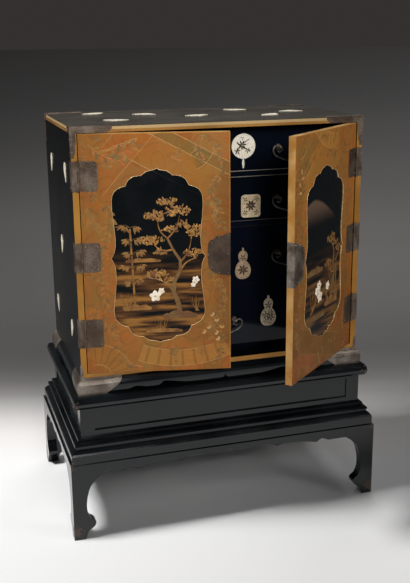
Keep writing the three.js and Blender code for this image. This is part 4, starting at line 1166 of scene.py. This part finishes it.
def bamboo(bm, foot, head, width, joints, bare):
    """A jointed stalk with twigs and hanging leaves above its bare joints."""
    path = [Vector(foot).lerp(Vector(head), i / joints) for i in range(joints + 1)]
    for i, (lower, upper) in enumerate(zip(path, path[1:])):
        joint_line = [lower, lower.lerp(upper, 0.5), lower.lerp(upper, 0.94)]
        stem(bm, joint_line, width, width * 0.88, BED, 0.8 * MM, OLD_GOLD)
        if i < bare:
            continue
        for way in (-1, 1):
            tip = upper + Vector((way * chance.uniform(8, 20), chance.uniform(0, 12))) * MM
            stem(bm, bent(upper, tip, way * 2 * MM, 4), 1.4 * MM, 0.7 * MM, BED, 0.4 * MM, DARK_GOLD)
            for share in (0.45, 0.75, 1.0):
                aim = -math.pi / 2 + way * chance.uniform(0.2, 1.2)
                leaf_fan(bm, upper.lerp(tip, share), aim, 3, 13 * MM, 3.2 * MM, 1.1)


def reeds(bm, root, blades, height, lean, finishes):
    """A tuft of long grass with feathery heads."""
    for _ in range(blades):
        sway = chance.uniform(-0.5, 0.5) + lean
        tall = height * chance.uniform(0.6, 1.0)
        foot = Vector(root) + Vector((chance.uniform(-5, 5) * MM, 0))
        tip = foot + Vector((tall * sway, tall))
        line = bent(foot, tip, -sway * 9 * MM, 5)
        stem(bm, line, 1.3 * MM, 0.5 * MM, BED, 0.35 * MM, chance.choice(finishes))


def bank(bm, middle, length, height, finish_index):
    """A low bank or rock: a flat-footed mound that fades into the black at both ends."""
    made = bmesh.ops.create_circle(bm, cap_ends=True, segments=28, radius=1)["verts"]
    for vert in made:
        ripple = 1 + 0.16 * math.sin(vert.co.x * 9 + middle[0] * 90) + 0.08 * math.sin(vert.co.x * 23)
        up = vert.co.y * height / 2 * ripple
        along = middle[0] + vert.co.x * length / 2
        vert.co = Vector((along, BED + 0.1 * MM, middle[1] + max(up, -0.22 * height)))
    top = bmesh.ops.poke(bm, faces=list(faces_of(made)), offset=0)["verts"]
    for vert in top:
        vert.co.y = BED - 0.45 * MM
    paint(faces_of(made + top), finish_index)


print("plants:", grown_tree.__name__, bamboo.__name__, reeds.__name__, "and a", bank.__name__)

# %% [markdown]
# ### The two landscapes
# A picture is laid from the back to the front: banks first, then bamboo, trees and reeds, and the
# blossoms last, in white shell. Places are measured from the window's middle line and from the floor
# under the cabinet, so a shape can be moved by changing one pair of numbers.


# %% Left and right pictures
BLOSSOM_BED = BED - 0.3 * MM
BLOSSOM_RISE = 0.9 * MM


def left_picture():
    """A blossoming tree and bamboo over a misty shore."""
    bm = bmesh.new()
    u = WINDOW_MIDDLE
    for place, length, height, tone in (
        ((u + 40 * MM, 0.460), 84 * MM, 26 * MM, DARK_GOLD),
        ((u - 44 * MM, 0.478), 70 * MM, 20 * MM, OLD_GOLD),
        ((u - 30 * MM, 0.574), 84 * MM, 13 * MM, OLD_GOLD),
        ((u + 8 * MM, 0.430), 90 * MM, 14 * MM, OLD_GOLD),
    ):
        bank(bm, place, length, height, tone)
    bamboo(bm, (u - 48 * MM, 0.480), (u - 54 * MM, 0.640), 4.6 * MM, 6, 1)
    trunk = [(0, 0), (-3, 22), (-12, 44), (-10, 66), (2, 88), (2, 108), (-12, 130), (-22, 152)]
    boughs = [((-12, 44), (-46, 72), -5, 5), ((2, 88), (34, 112), 5, 5), ((2, 104), (24, 150), -5, 4.5),
              ((-12, 130), (-48, 140), 7, 4.5), ((-22, 152), (-40, 190), 6, 4), ((-22, 152), (2, 196), -5, 4),
              ((-46, 72), (-70, 82), 3, 3), ((24, 150), (32, 172), 2, 3)]
    crowns = [(-46, 80, 44, 15, 60), (-24, 66, 26, 11, 26), (28, 120, 36, 16, 50), (30, 164, 36, 20, 60),
              (-50, 146, 44, 17, 70), (-36, 124, 30, 10, 24), (-44, 194, 44, 19, 76), (-2, 204, 48, 21, 80),
              (-22, 222, 36, 14, 42), (8, 178, 26, 12, 26), (-16, 168, 30, 11, 26)]
    grown_tree(bm, (u + 40 * MM, 0.466), trunk, boughs, crowns, (OLD_GOLD, OLD_GOLD, GREEN_GOLD, BRIGHT_GOLD))
    reeds(bm, (u - 66 * MM, 0.474), 14, 40 * MM, 0.2, (GREEN_GOLD, OLD_GOLD))
    reeds(bm, (u + 4 * MM, 0.432), 12, 26 * MM, -0.1, (GREEN_GOLD, OLD_GOLD))
    reeds(bm, (u + 74 * MM, 0.470), 12, 36 * MM, -0.2, (GREEN_GOLD, OLD_GOLD))
    flowers = ((-8, 503, 12, 0.4), (4, 513, 7.0, 0.9), (72, 534, 8.0, 1.1), (67, 524, 5.5, 0.3))
    for x, z, radius, turn in flowers:
        blossom(bm, (u + x * MM, z * MM), radius * MM, BLOSSOM_BED, BLOSSOM_RISE, turn, WHITE)
    bmesh.ops.transform(bm, matrix=door_place("left"), verts=bm.verts)
    return piece("left_window_picture", bm, PICTURE_FINISHES, "left_door")


def right_picture():
    """A small tree and reeds before the hill."""
    bm = bmesh.new()
    u = WINDOW_MIDDLE
    for place, length, height, tone in (
        ((u - 40 * MM, 0.470), 76 * MM, 26 * MM, OLD_GOLD),
        ((u + 40 * MM, 0.548), 90 * MM, 22 * MM, DARK_GOLD),
        ((u + 26 * MM, 0.452), 88 * MM, 20 * MM, DARK_GOLD),
        ((u - 6 * MM, 0.500), 110 * MM, 14 * MM, DARK_GOLD),
    ):
        bank(bm, place, length, height, tone)
    trunk = [(0, 0), (4, 20), (-2, 44), (6, 66), (2, 88)]
    boughs = [((-2, 44), (28, 62), -4, 4), ((6, 66), (-22, 84), 4, 4), ((2, 88), (20, 110), 3, 3.5)]
    crowns = [(30, 66, 34, 14, 44), (-24, 90, 34, 14, 44), (18, 116, 40, 16, 54), (-2, 104, 26, 11, 26)]
    grown_tree(bm, (u - 52 * MM, 0.486), trunk, boughs, crowns, (OLD_GOLD, DARK_GOLD, GREEN_GOLD))
    tufts = ((-66, 476, 14, 90, 0.25), (-30, 470, 12, 60, 0.1), (56, 466, 14, 60, -0.35))
    for x, z, count, tall, lean in tufts:
        reeds(bm, (u + x * MM, z * MM), count, tall * MM, lean, (OLD_GOLD, GREEN_GOLD, DARK_GOLD))
    flowers = ((16, 494, 13, 0.2), (30, 508, 10, 0.9), (20, 517, 11, 0.5), (-22, 508, 10, 0.7))
    for x, z, radius, turn in flowers:
        blossom(bm, (u + x * MM, z * MM), radius * MM, BLOSSOM_BED, BLOSSOM_RISE, turn, WHITE)
    bmesh.ops.transform(bm, matrix=door_place("right"), verts=bm.verts)
    return piece("right_window_picture", bm, PICTURE_FINISHES, "right_door")


for picture in (left_picture(), right_picture()):
    print(picture.name, len(picture.data.polygons), "faces")

# %% [markdown]
# ### Sprays on the gold ground
# Round the windows the gold carries sprays of leaves and buds, a little paler or greener than the ground
# and only a few tenths of a millimetre high. A spray is a bowed stem with leaves on both sides. The list
# names where each one starts and ends, how far it bows and how long its leaves are, in millimetres.
# Smaller sprays fill the ground beside and over the window by chance. A leaf that would pass the edge of
# the door is left out.

# %% Where the sprays lie
FACE_BED = FACE_DEPTH + 0.05 * MM
FACE_WIDE, FACE_TALL = (3 * MM, 283 * MM), (349 * MM, 816 * MM)
GREEN_LEAF, BUD_GOLD, ORANGE_LEAF, BROWN_LEAF = range(4)
SPRAY_RISE, BUD_RISE = 0.25 * MM, 0.6 * MM
SPRAY_BROWN = (0.170, 0.085, 0.028, 1)
SPRAYS = {
    "left": [
        ((262, 545), (270, 470), 5, 11), ((272, 470), (250, 418), -6, 12), ((236, 452), (276, 404), 4, 11),
        ((246, 700), (272, 640), 6, 14), ((272, 745), (250, 690), -5, 15), ((262, 620), (258, 560), 5, 12),
        ((50, 700), (44, 610), 7, 17), ((14, 690), (34, 640), -6, 15), ((48, 560), (44, 480), -4, 13),
        ((40, 745), (110, 800), 8, 18), ((20, 800), (80, 770), -6, 16), ((46, 455), (62, 405), 5, 13),
        ((16, 530), (40, 590), 6, 13), ((250, 800), (276, 752), 5, 13), ((60, 382), (110, 357), -5, 11),
    ],
    "right": [
        ((252, 400), (268, 480), -6, 15), ((28, 720), (46, 620), 6, 16), ((40, 590), (30, 490), 5, 14),
        ((60, 385), (170, 366), 9, 13), ((266, 690), (250, 770), 6, 17), ((60, 792), (140, 776), -6, 15),
        ((268, 560), (254, 500), -5, 12), ((20, 470), (46, 400), 6, 13), ((180, 800), (270, 786), 6, 15),
        ((262, 640), (268, 590), 4, 12), ((240, 372), (180, 352), 5, 12), ((20, 780), (30, 730), -5, 14),
    ],
}
FILLED_PARTS = [
    ((8, 44, 360, 810), 10), ((252, 280, 360, 810), 12), ((60, 240, 772, 812), 5), ((60, 240, 354, 392), 3),
]
BUDS = {"left": [(258, 446), (268, 432), (246, 432), (262, 420), (238, 424), (264, 407), (254, 458)],
        "right": [(262, 752), (252, 738), (268, 728), (262, 712)]}

print("sprays placed by hand:", {side: len(places) for side, places in SPRAYS.items()})

# %% [markdown]
# ### How a spray grows
# The stem is drawn first and then a pair of leaves at each of its steps, turned to both sides by chance.
# Every leaf takes its own tone of gold, mostly the greenest, so that a spray shimmers a little as the
# real powder does.


# %% Sprays
def on_the_door(root, angle, length):
    """True where a leaf ends inside the door's gold face."""
    tip = Vector(root) + Vector((math.cos(angle), math.sin(angle))) * length
    return FACE_WIDE[0] < tip.x < FACE_WIDE[1] and FACE_TALL[0] < tip.y < FACE_TALL[1]


def spray(bm, start, end, sag, size, leaves=7):
    """A bowed stem with a pair of leaves at each step."""
    line = bent(Vector(start) * MM, Vector(end) * MM, sag * MM, leaves)
    tone = chance.choice((GREEN_LEAF, GREEN_LEAF, ORANGE_LEAF, BROWN_LEAF))
    stem(bm, line, 1.2 * MM, 0.7 * MM, FACE_BED, SPRAY_RISE, tone)
    for i in range(1, leaves + 1):
        ahead = line[i] - line[i - 1]
        heading = math.atan2(ahead.y, ahead.x)
        for way in (-1, 1):
            angle = heading + way * chance.uniform(0.5, 1.0)
            length = size * chance.uniform(0.75, 1.2) * MM
            leaf_tone = chance.choice((GREEN_LEAF, GREEN_LEAF, tone, ORANGE_LEAF, BROWN_LEAF))
            if on_the_door(line[i], angle, length):
                blade(bm, line[i], angle, length, length * 0.46, FACE_BED, SPRAY_RISE, leaf_tone)


def sprays(side):
    """Every spray and bud of one door."""
    bm = bmesh.new()
    for start, end, sag, size in SPRAYS[side]:
        spray(bm, start, end, sag, size)
    for (u_low, u_high, z_low, z_high), count in FILLED_PARTS:
        for _ in range(count):
            start = (chance.uniform(u_low, u_high), chance.uniform(z_low, z_high))
            end_u = start[0] + chance.uniform(-14, 14)
            end_z = start[1] + chance.choice((-38, 38))
            end = (min(max(end_u, u_low), u_high), min(max(end_z, z_low), z_high))
            spray(bm, start, end, chance.uniform(-6, 6), chance.uniform(7, 12), 5)
    for x, z in BUDS[side]:
        leaf_angle = chance.uniform(0.6, 2.4)
        blade(bm, (x * MM, z * MM), leaf_angle, 9 * MM, 6 * MM, FACE_BED, BUD_RISE, BUD_GOLD)
        blade(bm, (x * MM, z * MM), leaf_angle + 1.1, 8 * MM, 5 * MM, FACE_BED, BUD_RISE, BUD_GOLD)
    bmesh.ops.transform(bm, matrix=door_place(side), verts=bm.verts)
    return piece(f"{side}_door_sprays", bm, SPRAY_FINISHES, f"{side}_door")


SPRAY_FINISHES = [
    relief_gold("spray_green_gold", GOLD_GREEN, GOLD_YELLOW, 0.4),
    relief_gold("spray_pale_gold", GOLD_PALE, GOLD_BRIGHT, 0.35),
    relief_gold("spray_orange_gold", GOLD_ORANGE, GOLD_YELLOW, 0.35),
    relief_gold("spray_brown_gold", SPRAY_BROWN, GOLD_GREEN, 0.4),
]
for side in DOORS:
    made = sprays(side)
    print(made.name, len(made.data.polygons), "faces")

# %% [markdown]
# ### Shell edges of the inlays
# Each inlay has a thin worked edge of shell round it, wider on the sides of the case than on its top. It
# is cut from the solid's own inlays: their outer faces are picked out by their place, widened, set a
# little lower than the inlay, and made thick enough to end just over the lacquer. Being lower, the edge
# never stands past the cabinet.

# %% Shell edges
EDGE_DROP = 0.15 * MM
EDGE_FOOT = 0.95 * MM
SIDE_LAP, TOP_LAP = 6 * MM, 2 * MM


def inlay_edges(node, axis, outward, lap):
    """A lower, lapped edge round every inlay of one board. Outward is 1 or -1 along the axis."""
    low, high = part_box(node)
    level = high[axis] if outward > 0 else low[axis]
    bm = bmesh.new()
    bm.from_mesh(nodes[node].data)
    faces_at(bm, axis, level)
    bmesh.ops.dissolve_limit(bm, angle_limit=0.01, verts=bm.verts, edges=bm.edges)
    bmesh.ops.inset_region(bm, faces=bm.faces[:], thickness=lap, use_outset=True, use_boundary=True)
    drop, foot = Vector((0, 0, 0)), Vector((0, 0, 0))
    drop[axis], foot[axis] = -outward * EDGE_DROP, -outward * (EDGE_FOOT - EDGE_DROP)
    bmesh.ops.translate(bm, verts=bm.verts, vec=drop)
    sunk = points_of(bmesh.ops.extrude_face_region(bm, geom=bm.faces[:])["geom"])
    bmesh.ops.translate(bm, verts=sunk, vec=foot)
    return piece(f"{node}_shell_edges", bm, [nodes[node].data.materials[0]], "stand_and_case")


INLAID = (("case_left", 0, -1, SIDE_LAP), ("case_right", 0, 1, SIDE_LAP), ("case_top", 2, 1, TOP_LAP))
for node, axis, outward, lap in INLAID:
    made = inlay_edges(node, axis, outward, lap)
    print(made.name, len(made.data.polygons), "faces", [round(s * 1000, 1) for s in made.dimensions], "mm")

# %% [markdown]
# ### Carved plaques
# The plaques are ivory with a raised border and stained leaf work. The first is a true disc with a blade
# hanging from it. The others are cut from the solid's own plaque: its front face is picked out by its
# depth, and the strip along its edge is raised in the plaque's own ivory. The leaves are the same blades
# and stems as before, in one dark finish, laid in rings round the middle of each plaque or of each lobe.

# %% Plaques
PLAQUE_FACE = -128.5 * MM
BORDER = 1.7 * MM
DISC_MIDDLE = 779.5 * MM
DISC_RADIUS = 25.3 * MM
DISC_RISE = 0.5 * MM
BORDER_RISE = 0.4 * MM
CARVING_BED, CARVING_RISE = 0.05 * MM, 0.3 * MM
STAIN_DARK = (0.030, 0.018, 0.012, 1)
CARVED, PLAQUE_BORDER, PLAQUE_GROUND = range(3)
CARVED_DARK = relief_gold("carved_ground", STAIN_DARK, SHELL_LINE, 0.5)


def plaque_outline(number, depth):
    """The plaque's front face: a true circle for the first, and the solid's own face for the others."""
    middle, half = PLAQUES[number]
    bm = bmesh.new()
    if number == 1:
        place = Matrix.Translation((middle, depth - DISC_RISE, DISC_MIDDLE))
        place = place @ Matrix.Rotation(math.pi / 2, 4, "X")
        bmesh.ops.create_circle(bm, cap_ends=True, segments=56, radius=DISC_RADIUS, matrix=place)
        return bm
    bm.from_mesh(nodes[f"drawer_{number}_front"].data)
    others = [face for face in bm.faces if any(abs(v.co.y - depth) > SAME_LEVEL for v in face.verts)]
    bmesh.ops.delete(bm, geom=others, context="FACES")
    stray = [v for v in bm.verts if abs(v.co.x - middle) > half]
    bmesh.ops.delete(bm, geom=stray, context="VERTS")
    bmesh.ops.remove_doubles(bm, verts=bm.verts, dist=SAME_POINT)
    bmesh.ops.dissolve_faces(bm, faces=bm.faces)
    return bm


for number in PLAQUES:
    outline = plaque_outline(number, MIDDLE.y + PLAQUE_FACE)
    print("plaque", number, "has", len(outline.verts), "points round its edge")
    outline.free()

# %% [markdown]
# ### Leaf work of the plaques
# The leaves stand in rings, each round a middle of its own. On the disc two stems cross among them. A
# list of rings is enough here, because on a plaque five centimetres wide only the size and the dark tone
# of the leaves can be told.

# %% Carving
# Each ring has its middle, its number of leaves, their length and the angle of the first.
LEAF_RINGS = {
    1: [((-3, 2), 7, 11.0, 0.2), ((9, -9), 5, 7.0, 0.9), ((-13, -10), 5, 8.0, 0.3), ((-2, 16), 3, 5.0, 0.5)],
    2: [((0, 1), 8, 13.0, 0.39), ((0, 1), 7, 7.0, 0.8), ((-12, -13), 4, 7.0, 0.5),
        ((12, -13), 4, 7.0, 1.4), ((-12, 14), 4, 6.5, 0.9), ((12, 14), 4, 6.5, 0.2)],
    3: [((0, 12), 5, 8.5, 0.9), ((0, -14), 7, 13.0, 0.4), ((0, -14), 5, 7.0, 0.0)],
    4: [((0, 12), 5, 9.5, 0.3), ((-5, -10), 5, 10.0, 0.4), ((6, -15), 5, 10.0, 1.0), ((-4, -22), 4, 7.0, 0.6),
        ((7, -4), 4, 7.0, 0)],
}


def plaque(number):
    """The border and the carving of one plaque."""
    depth = MIDDLE.y + PLAQUE_FACE
    bm = plaque_outline(number, depth)
    middle = PLAQUES[number][0]
    heights = [v.co.z for v in bm.verts]
    centre_z = (min(heights) + max(heights)) / 2
    border = bmesh.ops.inset_region(bm, faces=bm.faces[:], thickness=BORDER, use_boundary=True)["faces"]
    inner = [f for f in bm.faces if f not in set(border)]
    if number == 1:
        paint(inner, PLAQUE_GROUND)
        depth -= DISC_RISE
    else:
        bmesh.ops.delete(bm, geom=inner, context="FACES")
    paint(border, PLAQUE_BORDER)
    raised = bmesh.ops.extrude_face_region(bm, geom=border)["geom"]
    bmesh.ops.translate(bm, verts=points_of(raised), vec=(0, -BORDER_RISE, 0))
    paint([part for part in raised if isinstance(part, bmesh.types.BMFace)], PLAQUE_BORDER)
    bed = depth + CARVING_BED
    for (x, z), leaves, reach, turn in LEAF_RINGS[number]:
        root = (middle + x * MM, centre_z + z * MM)
        for i in range(leaves):
            angle = turn + 2 * math.pi * i / leaves
            blade(bm, root, angle, reach * MM, reach * 0.42 * MM, bed, CARVING_RISE, CARVED)
    if number == 1:
        for ends, sag in ((((-15, -12), (13, 14)), 3), (((-14, 8), (15, -9)), -3)):
            line = [(middle + p.x * MM, centre_z + p.y * MM) for p in bent(*ends, sag, 7)]
            stem(bm, line, 3.2 * MM, 1.6 * MM, bed, 0.35 * MM, CARVED)
        neck = (middle, DISC_MIDDLE - DISC_RADIUS + 0.5 * MM)
        hanging = (21 * MM, 5.6 * MM)
        blade(bm, neck, -math.pi / 2, *hanging, MIDDLE.y + PLAQUE_FACE, 0.8 * MM, PLAQUE_BORDER)
    finishes = [CARVED_DARK, relief_gold(f"plaque_{number}_border", *IVORY[number], 0.4)]
    finishes.append(nodes[f"drawer_{number}_front"].data.materials[0])
    return piece(f"drawer_{number}_plaque", bm, finishes, JOINTS[f"drawer_{number}_slide"]["child"])


for number in PLAQUES:
    made = plaque(number)
    print(made.name, len(made.data.polygons), "faces", [round(s * 1000, 1) for s in made.dimensions], "mm")

# %% [markdown]
# ### Drawer bails
# Each bail is one bar whose ends are rolled up like young ferns. A curve with its own thickness at every
# point gives a smoother bar than the solid's, on the same path, and is turned into a mesh. A bud closes
# each rolled end. The new bail takes the place of the solid one and swings with the same joint.

# %% Bails
BAIL_HALF = 50.1 * MM
BAIL_DROP = 29 * MM
BAIL_THICK = 1.9 * MM
# Each point has its place as shares of the bail's half width and its drop, and its share of the thickness.
BAIL_PATH = [
    (0.80, -0.27, 0.75), (0.745, -0.325, 1.2), (0.67, -0.29, 0.95), (0.618, -0.15, 0.85), (0.65, 0, 0.8),
    (0.76, 0, 0.8), (0.82, 0.06, 0.85), (0.89, 0.09, 0.95), (0.96, 0.02, 1), (1, -0.15, 1.05),
    (0.985, -0.34, 1.05), (0.92, -0.52, 1.15), (0.81, -0.66, 1.45), (0.70, -0.74, 1.05), (0.45, -0.89, 1),
]
BAIL_DULL, BAIL_WORN = (0.055, 0.048, 0.044, 1), (0.170, 0.155, 0.140, 1)
BAIL_BRONZE = dull_metal("bail_bronze", 0.004, 0.4, BAIL_DULL, BAIL_WORN, BRONZE_DARK)


def bail(name, hinge):
    """A smooth bar through the path's points, mirrored about the bail's middle."""
    half = [(share * BAIL_HALF, up * BAIL_DROP, thick) for share, up, thick in BAIL_PATH]
    points = [(-x, z, thick) for x, z, thick in half] + [(0, -BAIL_DROP, 1)] + half[::-1]
    curve = bpy.data.curves.new(name, "CURVE")
    curve.dimensions = "3D"
    curve.bevel_depth = BAIL_THICK
    curve.bevel_resolution = 3
    curve.use_fill_caps = True
    spline = curve.splines.new("BEZIER")
    spline.resolution_u = 4
    spline.bezier_points.add(len(points) - 1)
    for point, (x, z, thick) in zip(spline.bezier_points, points):
        point.co = (x, 0, z)
        point.radius = thick
        point.handle_left_type = point.handle_right_type = "AUTO"
    rough = bpy.data.objects.new(name + "_curve", curve)
    bpy.context.scene.collection.objects.link(rough)
    bpy.context.view_layer.update()
    smooth = bpy.data.meshes.new_from_object(rough.evaluated_get(bpy.context.evaluated_depsgraph_get()))
    bpy.data.objects.remove(rough)
    bm = bmesh.new()
    bm.from_mesh(smooth)
    for way in (-1, 1):
        x, z, thick = half[0]
        bud = Matrix.Translation((way * x, 0, z)) @ Matrix.Diagonal((1.25, 0.95, 0.95, 1))
        bmesh.ops.create_icosphere(bm, subdivisions=2, radius=BAIL_THICK * thick, matrix=bud)
    bmesh.ops.translate(bm, verts=bm.verts, vec=Vector(hinge["pos_m"]))
    made = piece(name, bm, [BAIL_BRONZE], hinge["child"], smooth_angle=60)
    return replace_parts(made, hinge["child"])


for name, joint in JOINTS.items():
    if name.endswith("_swing"):
        bail(joint["child"] + "_bar", joint)
print("bails", len([n for n in JOINTS if n.endswith("_swing")]))

# %% [markdown]
# ### Nails
# Small round-headed nails hold the leaves of the hinges, the lock plates and the two front mounts at the
# top. They are half-sunk spheres, and their places are measured in from the box of each mount, so they
# follow the solids.


# %% Nails
NAIL = relief_gold("nail_silver", SILVER_WORN, SILVER_DULL, 0.35)
NAIL_SIZE, SMALL_NAIL_SIZE = 1.0 * MM, 0.9 * MM
HINGE_LEAF_REACH = 36 * MM
HINGE_LEAF_TALL = 58 * MM
LEAF_FACE = 2.0 * MM
PLATE_FACE = 1.7 * MM
DOOR_END = 287.5 * MM
# Each nail of a lock plate has its distance from the door's edge and its share of the plate's height.
PLATE_NAILS = ((4, 0.44), (4, 0), (4, -0.44), (22, 0.42), (22, -0.42), (38, 0.27), (38, -0.3), (44, 0))


def nail(bm, place, radius):
    """One round head, half sunk."""
    sunk = Matrix.Translation(place)
    bmesh.ops.create_uvsphere(bm, u_segments=8, v_segments=6, radius=radius, matrix=sunk)


def door_nails(side):
    """Nails on the leaves and on the lock plate of one door."""
    bm = bmesh.new()
    for level in LEVELS:
        low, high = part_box(f"hinge_{side}_{level}")
        middle = (low.z + high.z) / 2
        for u in (7 * MM, HINGE_LEAF_REACH - 5.5 * MM):
            for rise in (-0.38, 0.38):
                nail(bm, (u, LEAF_FACE, middle + rise * HINGE_LEAF_TALL), NAIL_SIZE)
    low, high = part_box(f"{side}_lock_plate")
    middle, tall = (low.z + high.z) / 2, high.z - low.z
    for inset, rise in PLATE_NAILS:
        nail(bm, (DOOR_END - inset * MM, PLATE_FACE, middle + rise * tall), NAIL_SIZE)
    bmesh.ops.transform(bm, matrix=door_place(side), verts=bm.verts)
    return piece(f"{side}_door_nails", bm, [NAIL], f"{side}_door")


def case_nails():
    """Nails on the case leaves of the hinges and on the two front mounts at the top."""
    bm = bmesh.new()
    for side, way in (("left", -1), ("right", 1)):
        for level in LEVELS:
            low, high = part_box(f"hinge_{side}_{level}")
            outer = low.x if way < 0 else high.x
            middle = (low.z + high.z) / 2
            for rise in (-0.38, 0.38):
                nail(bm, (outer, high.y - 4 * MM, middle + rise * HINGE_LEAF_TALL), NAIL_SIZE)
        low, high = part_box(f"top_mount_front_{side}")
        outer = low.x if way < 0 else high.x
        for inset in (6, 30, 54, 72):
            nail(bm, (outer - way * inset * MM, low.y, high.z - 7 * MM), SMALL_NAIL_SIZE)
        for drop in (24, 48):
            nail(bm, (outer - way * 4 * MM, low.y, high.z - drop * MM), SMALL_NAIL_SIZE)
            nail(bm, (outer, low.y + 3.5 * MM, high.z - drop * MM), SMALL_NAIL_SIZE)
        for back in (10, 22):
            nail(bm, (outer, low.y + back * MM, high.z - 7 * MM), SMALL_NAIL_SIZE)
    return piece("case_nails", bm, [NAIL], "stand_and_case")


for made in (door_nails("left"), door_nails("right"), case_nails()):
    print(made.name, len(made.data.polygons), "faces")

# %% [markdown]
# ## Stage and light
# The cabinet stands on a pale floor that darkens to grey behind it. The floor is one large sheet, and its
# own colour makes the change: a ramp by distance along one fixed direction, the one in which the
# photograph was taken. In its far part the floor is painted lighter to the right and darker to the left,
# as painted light and shade. It is painted on the floor's own places, so it stays where it is when the
# view moves. Its tones were found by comparing renders with the photograph. They rise again far away,
# because less of the lamps' light arrives there. The floor is only the stage and not a piece.


# %% Floor
FLOOR_HALF = 60
NEAREST = -0.5
NEAR_TONE, FAR_TONE = (0.98, 0.975, 0.97, 1), (0.404, 0.376, 0.355, 1)
PAINTED_SIDE_LIGHT, PAINTED_SIDE_LIGHT_LOW, PAINTED_SIDE_LIGHT_HIGH = 1.1, 0.6, 1.4


def sheet(name, size, z):
    """A flat square sheet. Size is half its side."""
    mesh = bpy.data.meshes.new(name)
    bm = bmesh.new()
    bmesh.ops.create_grid(bm, x_segments=1, y_segments=1, size=size)
    bmesh.ops.translate(bm, verts=bm.verts, vec=(0, 0, z))
    bm.to_mesh(mesh)
    bm.free()
    made = bpy.data.objects.new(name, mesh)
    bpy.context.scene.collection.objects.link(made)
    return made


floor = sheet("floor", FLOOR_HALF, 0)
material, tree, shader, place = finish("floor_grey")
towards_back = (math.sin(yaw), math.cos(yaw), 0)
towards_right = (math.cos(yaw), -math.sin(yaw), 0)
dotted = put(tree, "ShaderNodeVectorMath", {0: place, 1: towards_back}, operation="DOT_PRODUCT")
back = calc(tree, "MAXIMUM", dotted.outputs["Value"], NEAREST)
away = rest(tree, calc(tree, "DIVIDE", 1.0, calc(tree, "ADD", back, 1.5)))
fade = put(tree, "ShaderNodeValToRGB", {0: away})
ramp = fade.color_ramp
ramp.elements[0].position, ramp.elements[0].color = 0.36, NEAR_TONE
ramp.elements[1].position, ramp.elements[1].color = 0.985, FAR_TONE
FLOOR_TONES = [
    (0.40, 0.94), (0.43, 0.88), (0.455, 0.75), (0.48, 0.53), (0.503, 0.31), (0.527, 0.185), (0.55, 0.135),
    (0.58, 0.112), (0.62, 0.132), (0.66, 0.172), (0.70, 0.215), (0.75, 0.295), (0.80, 0.435), (0.85, 0.590),
    (0.90, 0.640), (0.95, 0.510),
]
for position, value in FLOOR_TONES:
    ramp.elements.new(position).color = (value, value * 0.97, value * 0.94, 1)
# Painted light and shade: the far part of the floor is lighter to the right and darker to the left.
rightward = put(tree, "ShaderNodeVectorMath", {0: place, 1: towards_right}, operation="DOT_PRODUCT")
slant = calc(tree, "DIVIDE", rightward.outputs["Value"], calc(tree, "ADD", back, 2.0))
far_part = put(tree, "ShaderNodeMapRange", {0: away, 1: 0.42, 2: 0.56}).outputs[0]
lean = calc(tree, "ADD", 1.0, both(tree, some(tree, slant, PAINTED_SIDE_LIGHT), far_part))
lean = calc(tree, "MINIMUM", calc(tree, "MAXIMUM", lean, PAINTED_SIDE_LIGHT_LOW), PAINTED_SIDE_LIGHT_HIGH)
floor_tone_with_side_light = put(tree, "ShaderNodeVectorMath", {0: fade.outputs[0], 3: lean}, operation="SCALE").outputs[0]
feed(tree, shader, Base_Color=floor_tone_with_side_light, Roughness=0.9)
floor.data.materials.append(material)
print("the floor's ramp has", len(ramp.elements), "stops")

# %% [markdown]
# ### Lamps and sky
# Gloss shows only what surrounds it, so the light is a few large soft lamps. The main lamp hangs high at
# the left and makes the shadow. Two weak lamps in front have a narrow beam, which lights the doors and
# plaques and leaves the floor under the stand dark. The back lamp gives the top board its sheen. The wall
# behind is dark, and the camera, glossy surfaces and glass see it, while the objects are lit by a faint
# pale sky.


# %% Lamps and sky
SKY_TONE, SKY_STRENGTH = (0.90, 0.90, 0.92, 1), 0.08
WALL_TONE, WALL_IN_GLOSS = (0.034, 0.031, 0.029, 1), 0.8

world = bpy.data.worlds.new("studio")
bpy.context.scene.world = world
world.use_nodes = True
tree = world.node_tree
sky = tree.nodes["Background"]
sky.inputs["Color"].default_value = SKY_TONE
sky.inputs["Strength"].default_value = SKY_STRENGTH
wall = put(tree, "ShaderNodeBackground", {"Color": WALL_TONE, "Strength": 1.0})
rays = put(tree, "ShaderNodeLightPath")
plain = either(tree, rays.outputs["Is Camera Ray"], rays.outputs["Is Transmission Ray"])
seen = either(tree, plain, some(tree, rays.outputs["Is Glossy Ray"], WALL_IN_GLOSS))
blend = put(tree, "ShaderNodeMixShader", {0: seen, 1: sky.outputs[0], 2: wall.outputs[0]})
tree.links.new(blend.outputs[0], tree.nodes["World Output"].inputs["Surface"])


def soft_lamp(name, place, target, size, power, spread=180):
    """A rectangular lamp aimed at a target. A small spread keeps its light in a narrow beam."""
    lamp = bpy.data.objects.new(name, bpy.data.lights.new(name, "AREA"))
    lamp.data.shape, lamp.data.size, lamp.data.size_y = "RECTANGLE", size[0], size[1]
    lamp.data.energy, lamp.data.spread = power, math.radians(spread)
    lamp.location = MIDDLE + Vector(place)
    lamp.rotation_euler = (Vector(target) - Vector(place)).to_track_quat("-Z", "Y").to_euler()
    bpy.context.scene.collection.objects.link(lamp)
    return lamp


soft_lamp("main_lamp", (-1.58, -0.06, 2.85), (0, 0, 0.3), (0.65, 0.65), 87)
soft_lamp("front_lamp", (-0.2, -2.3, 1.5), (-0.08, 0, 0.64), (0.5, 0.5), 1.36, spread=32)
soft_lamp("right_lamp", (1.6, -1.7, 1.6), (0.2, -0.25, 0.66), (0.5, 0.5), 0.53, spread=30)
soft_lamp("back_lamp", (0.9, 1.5, 2.4), (0, 0, 0.3), (0.9, 0.25), 9)
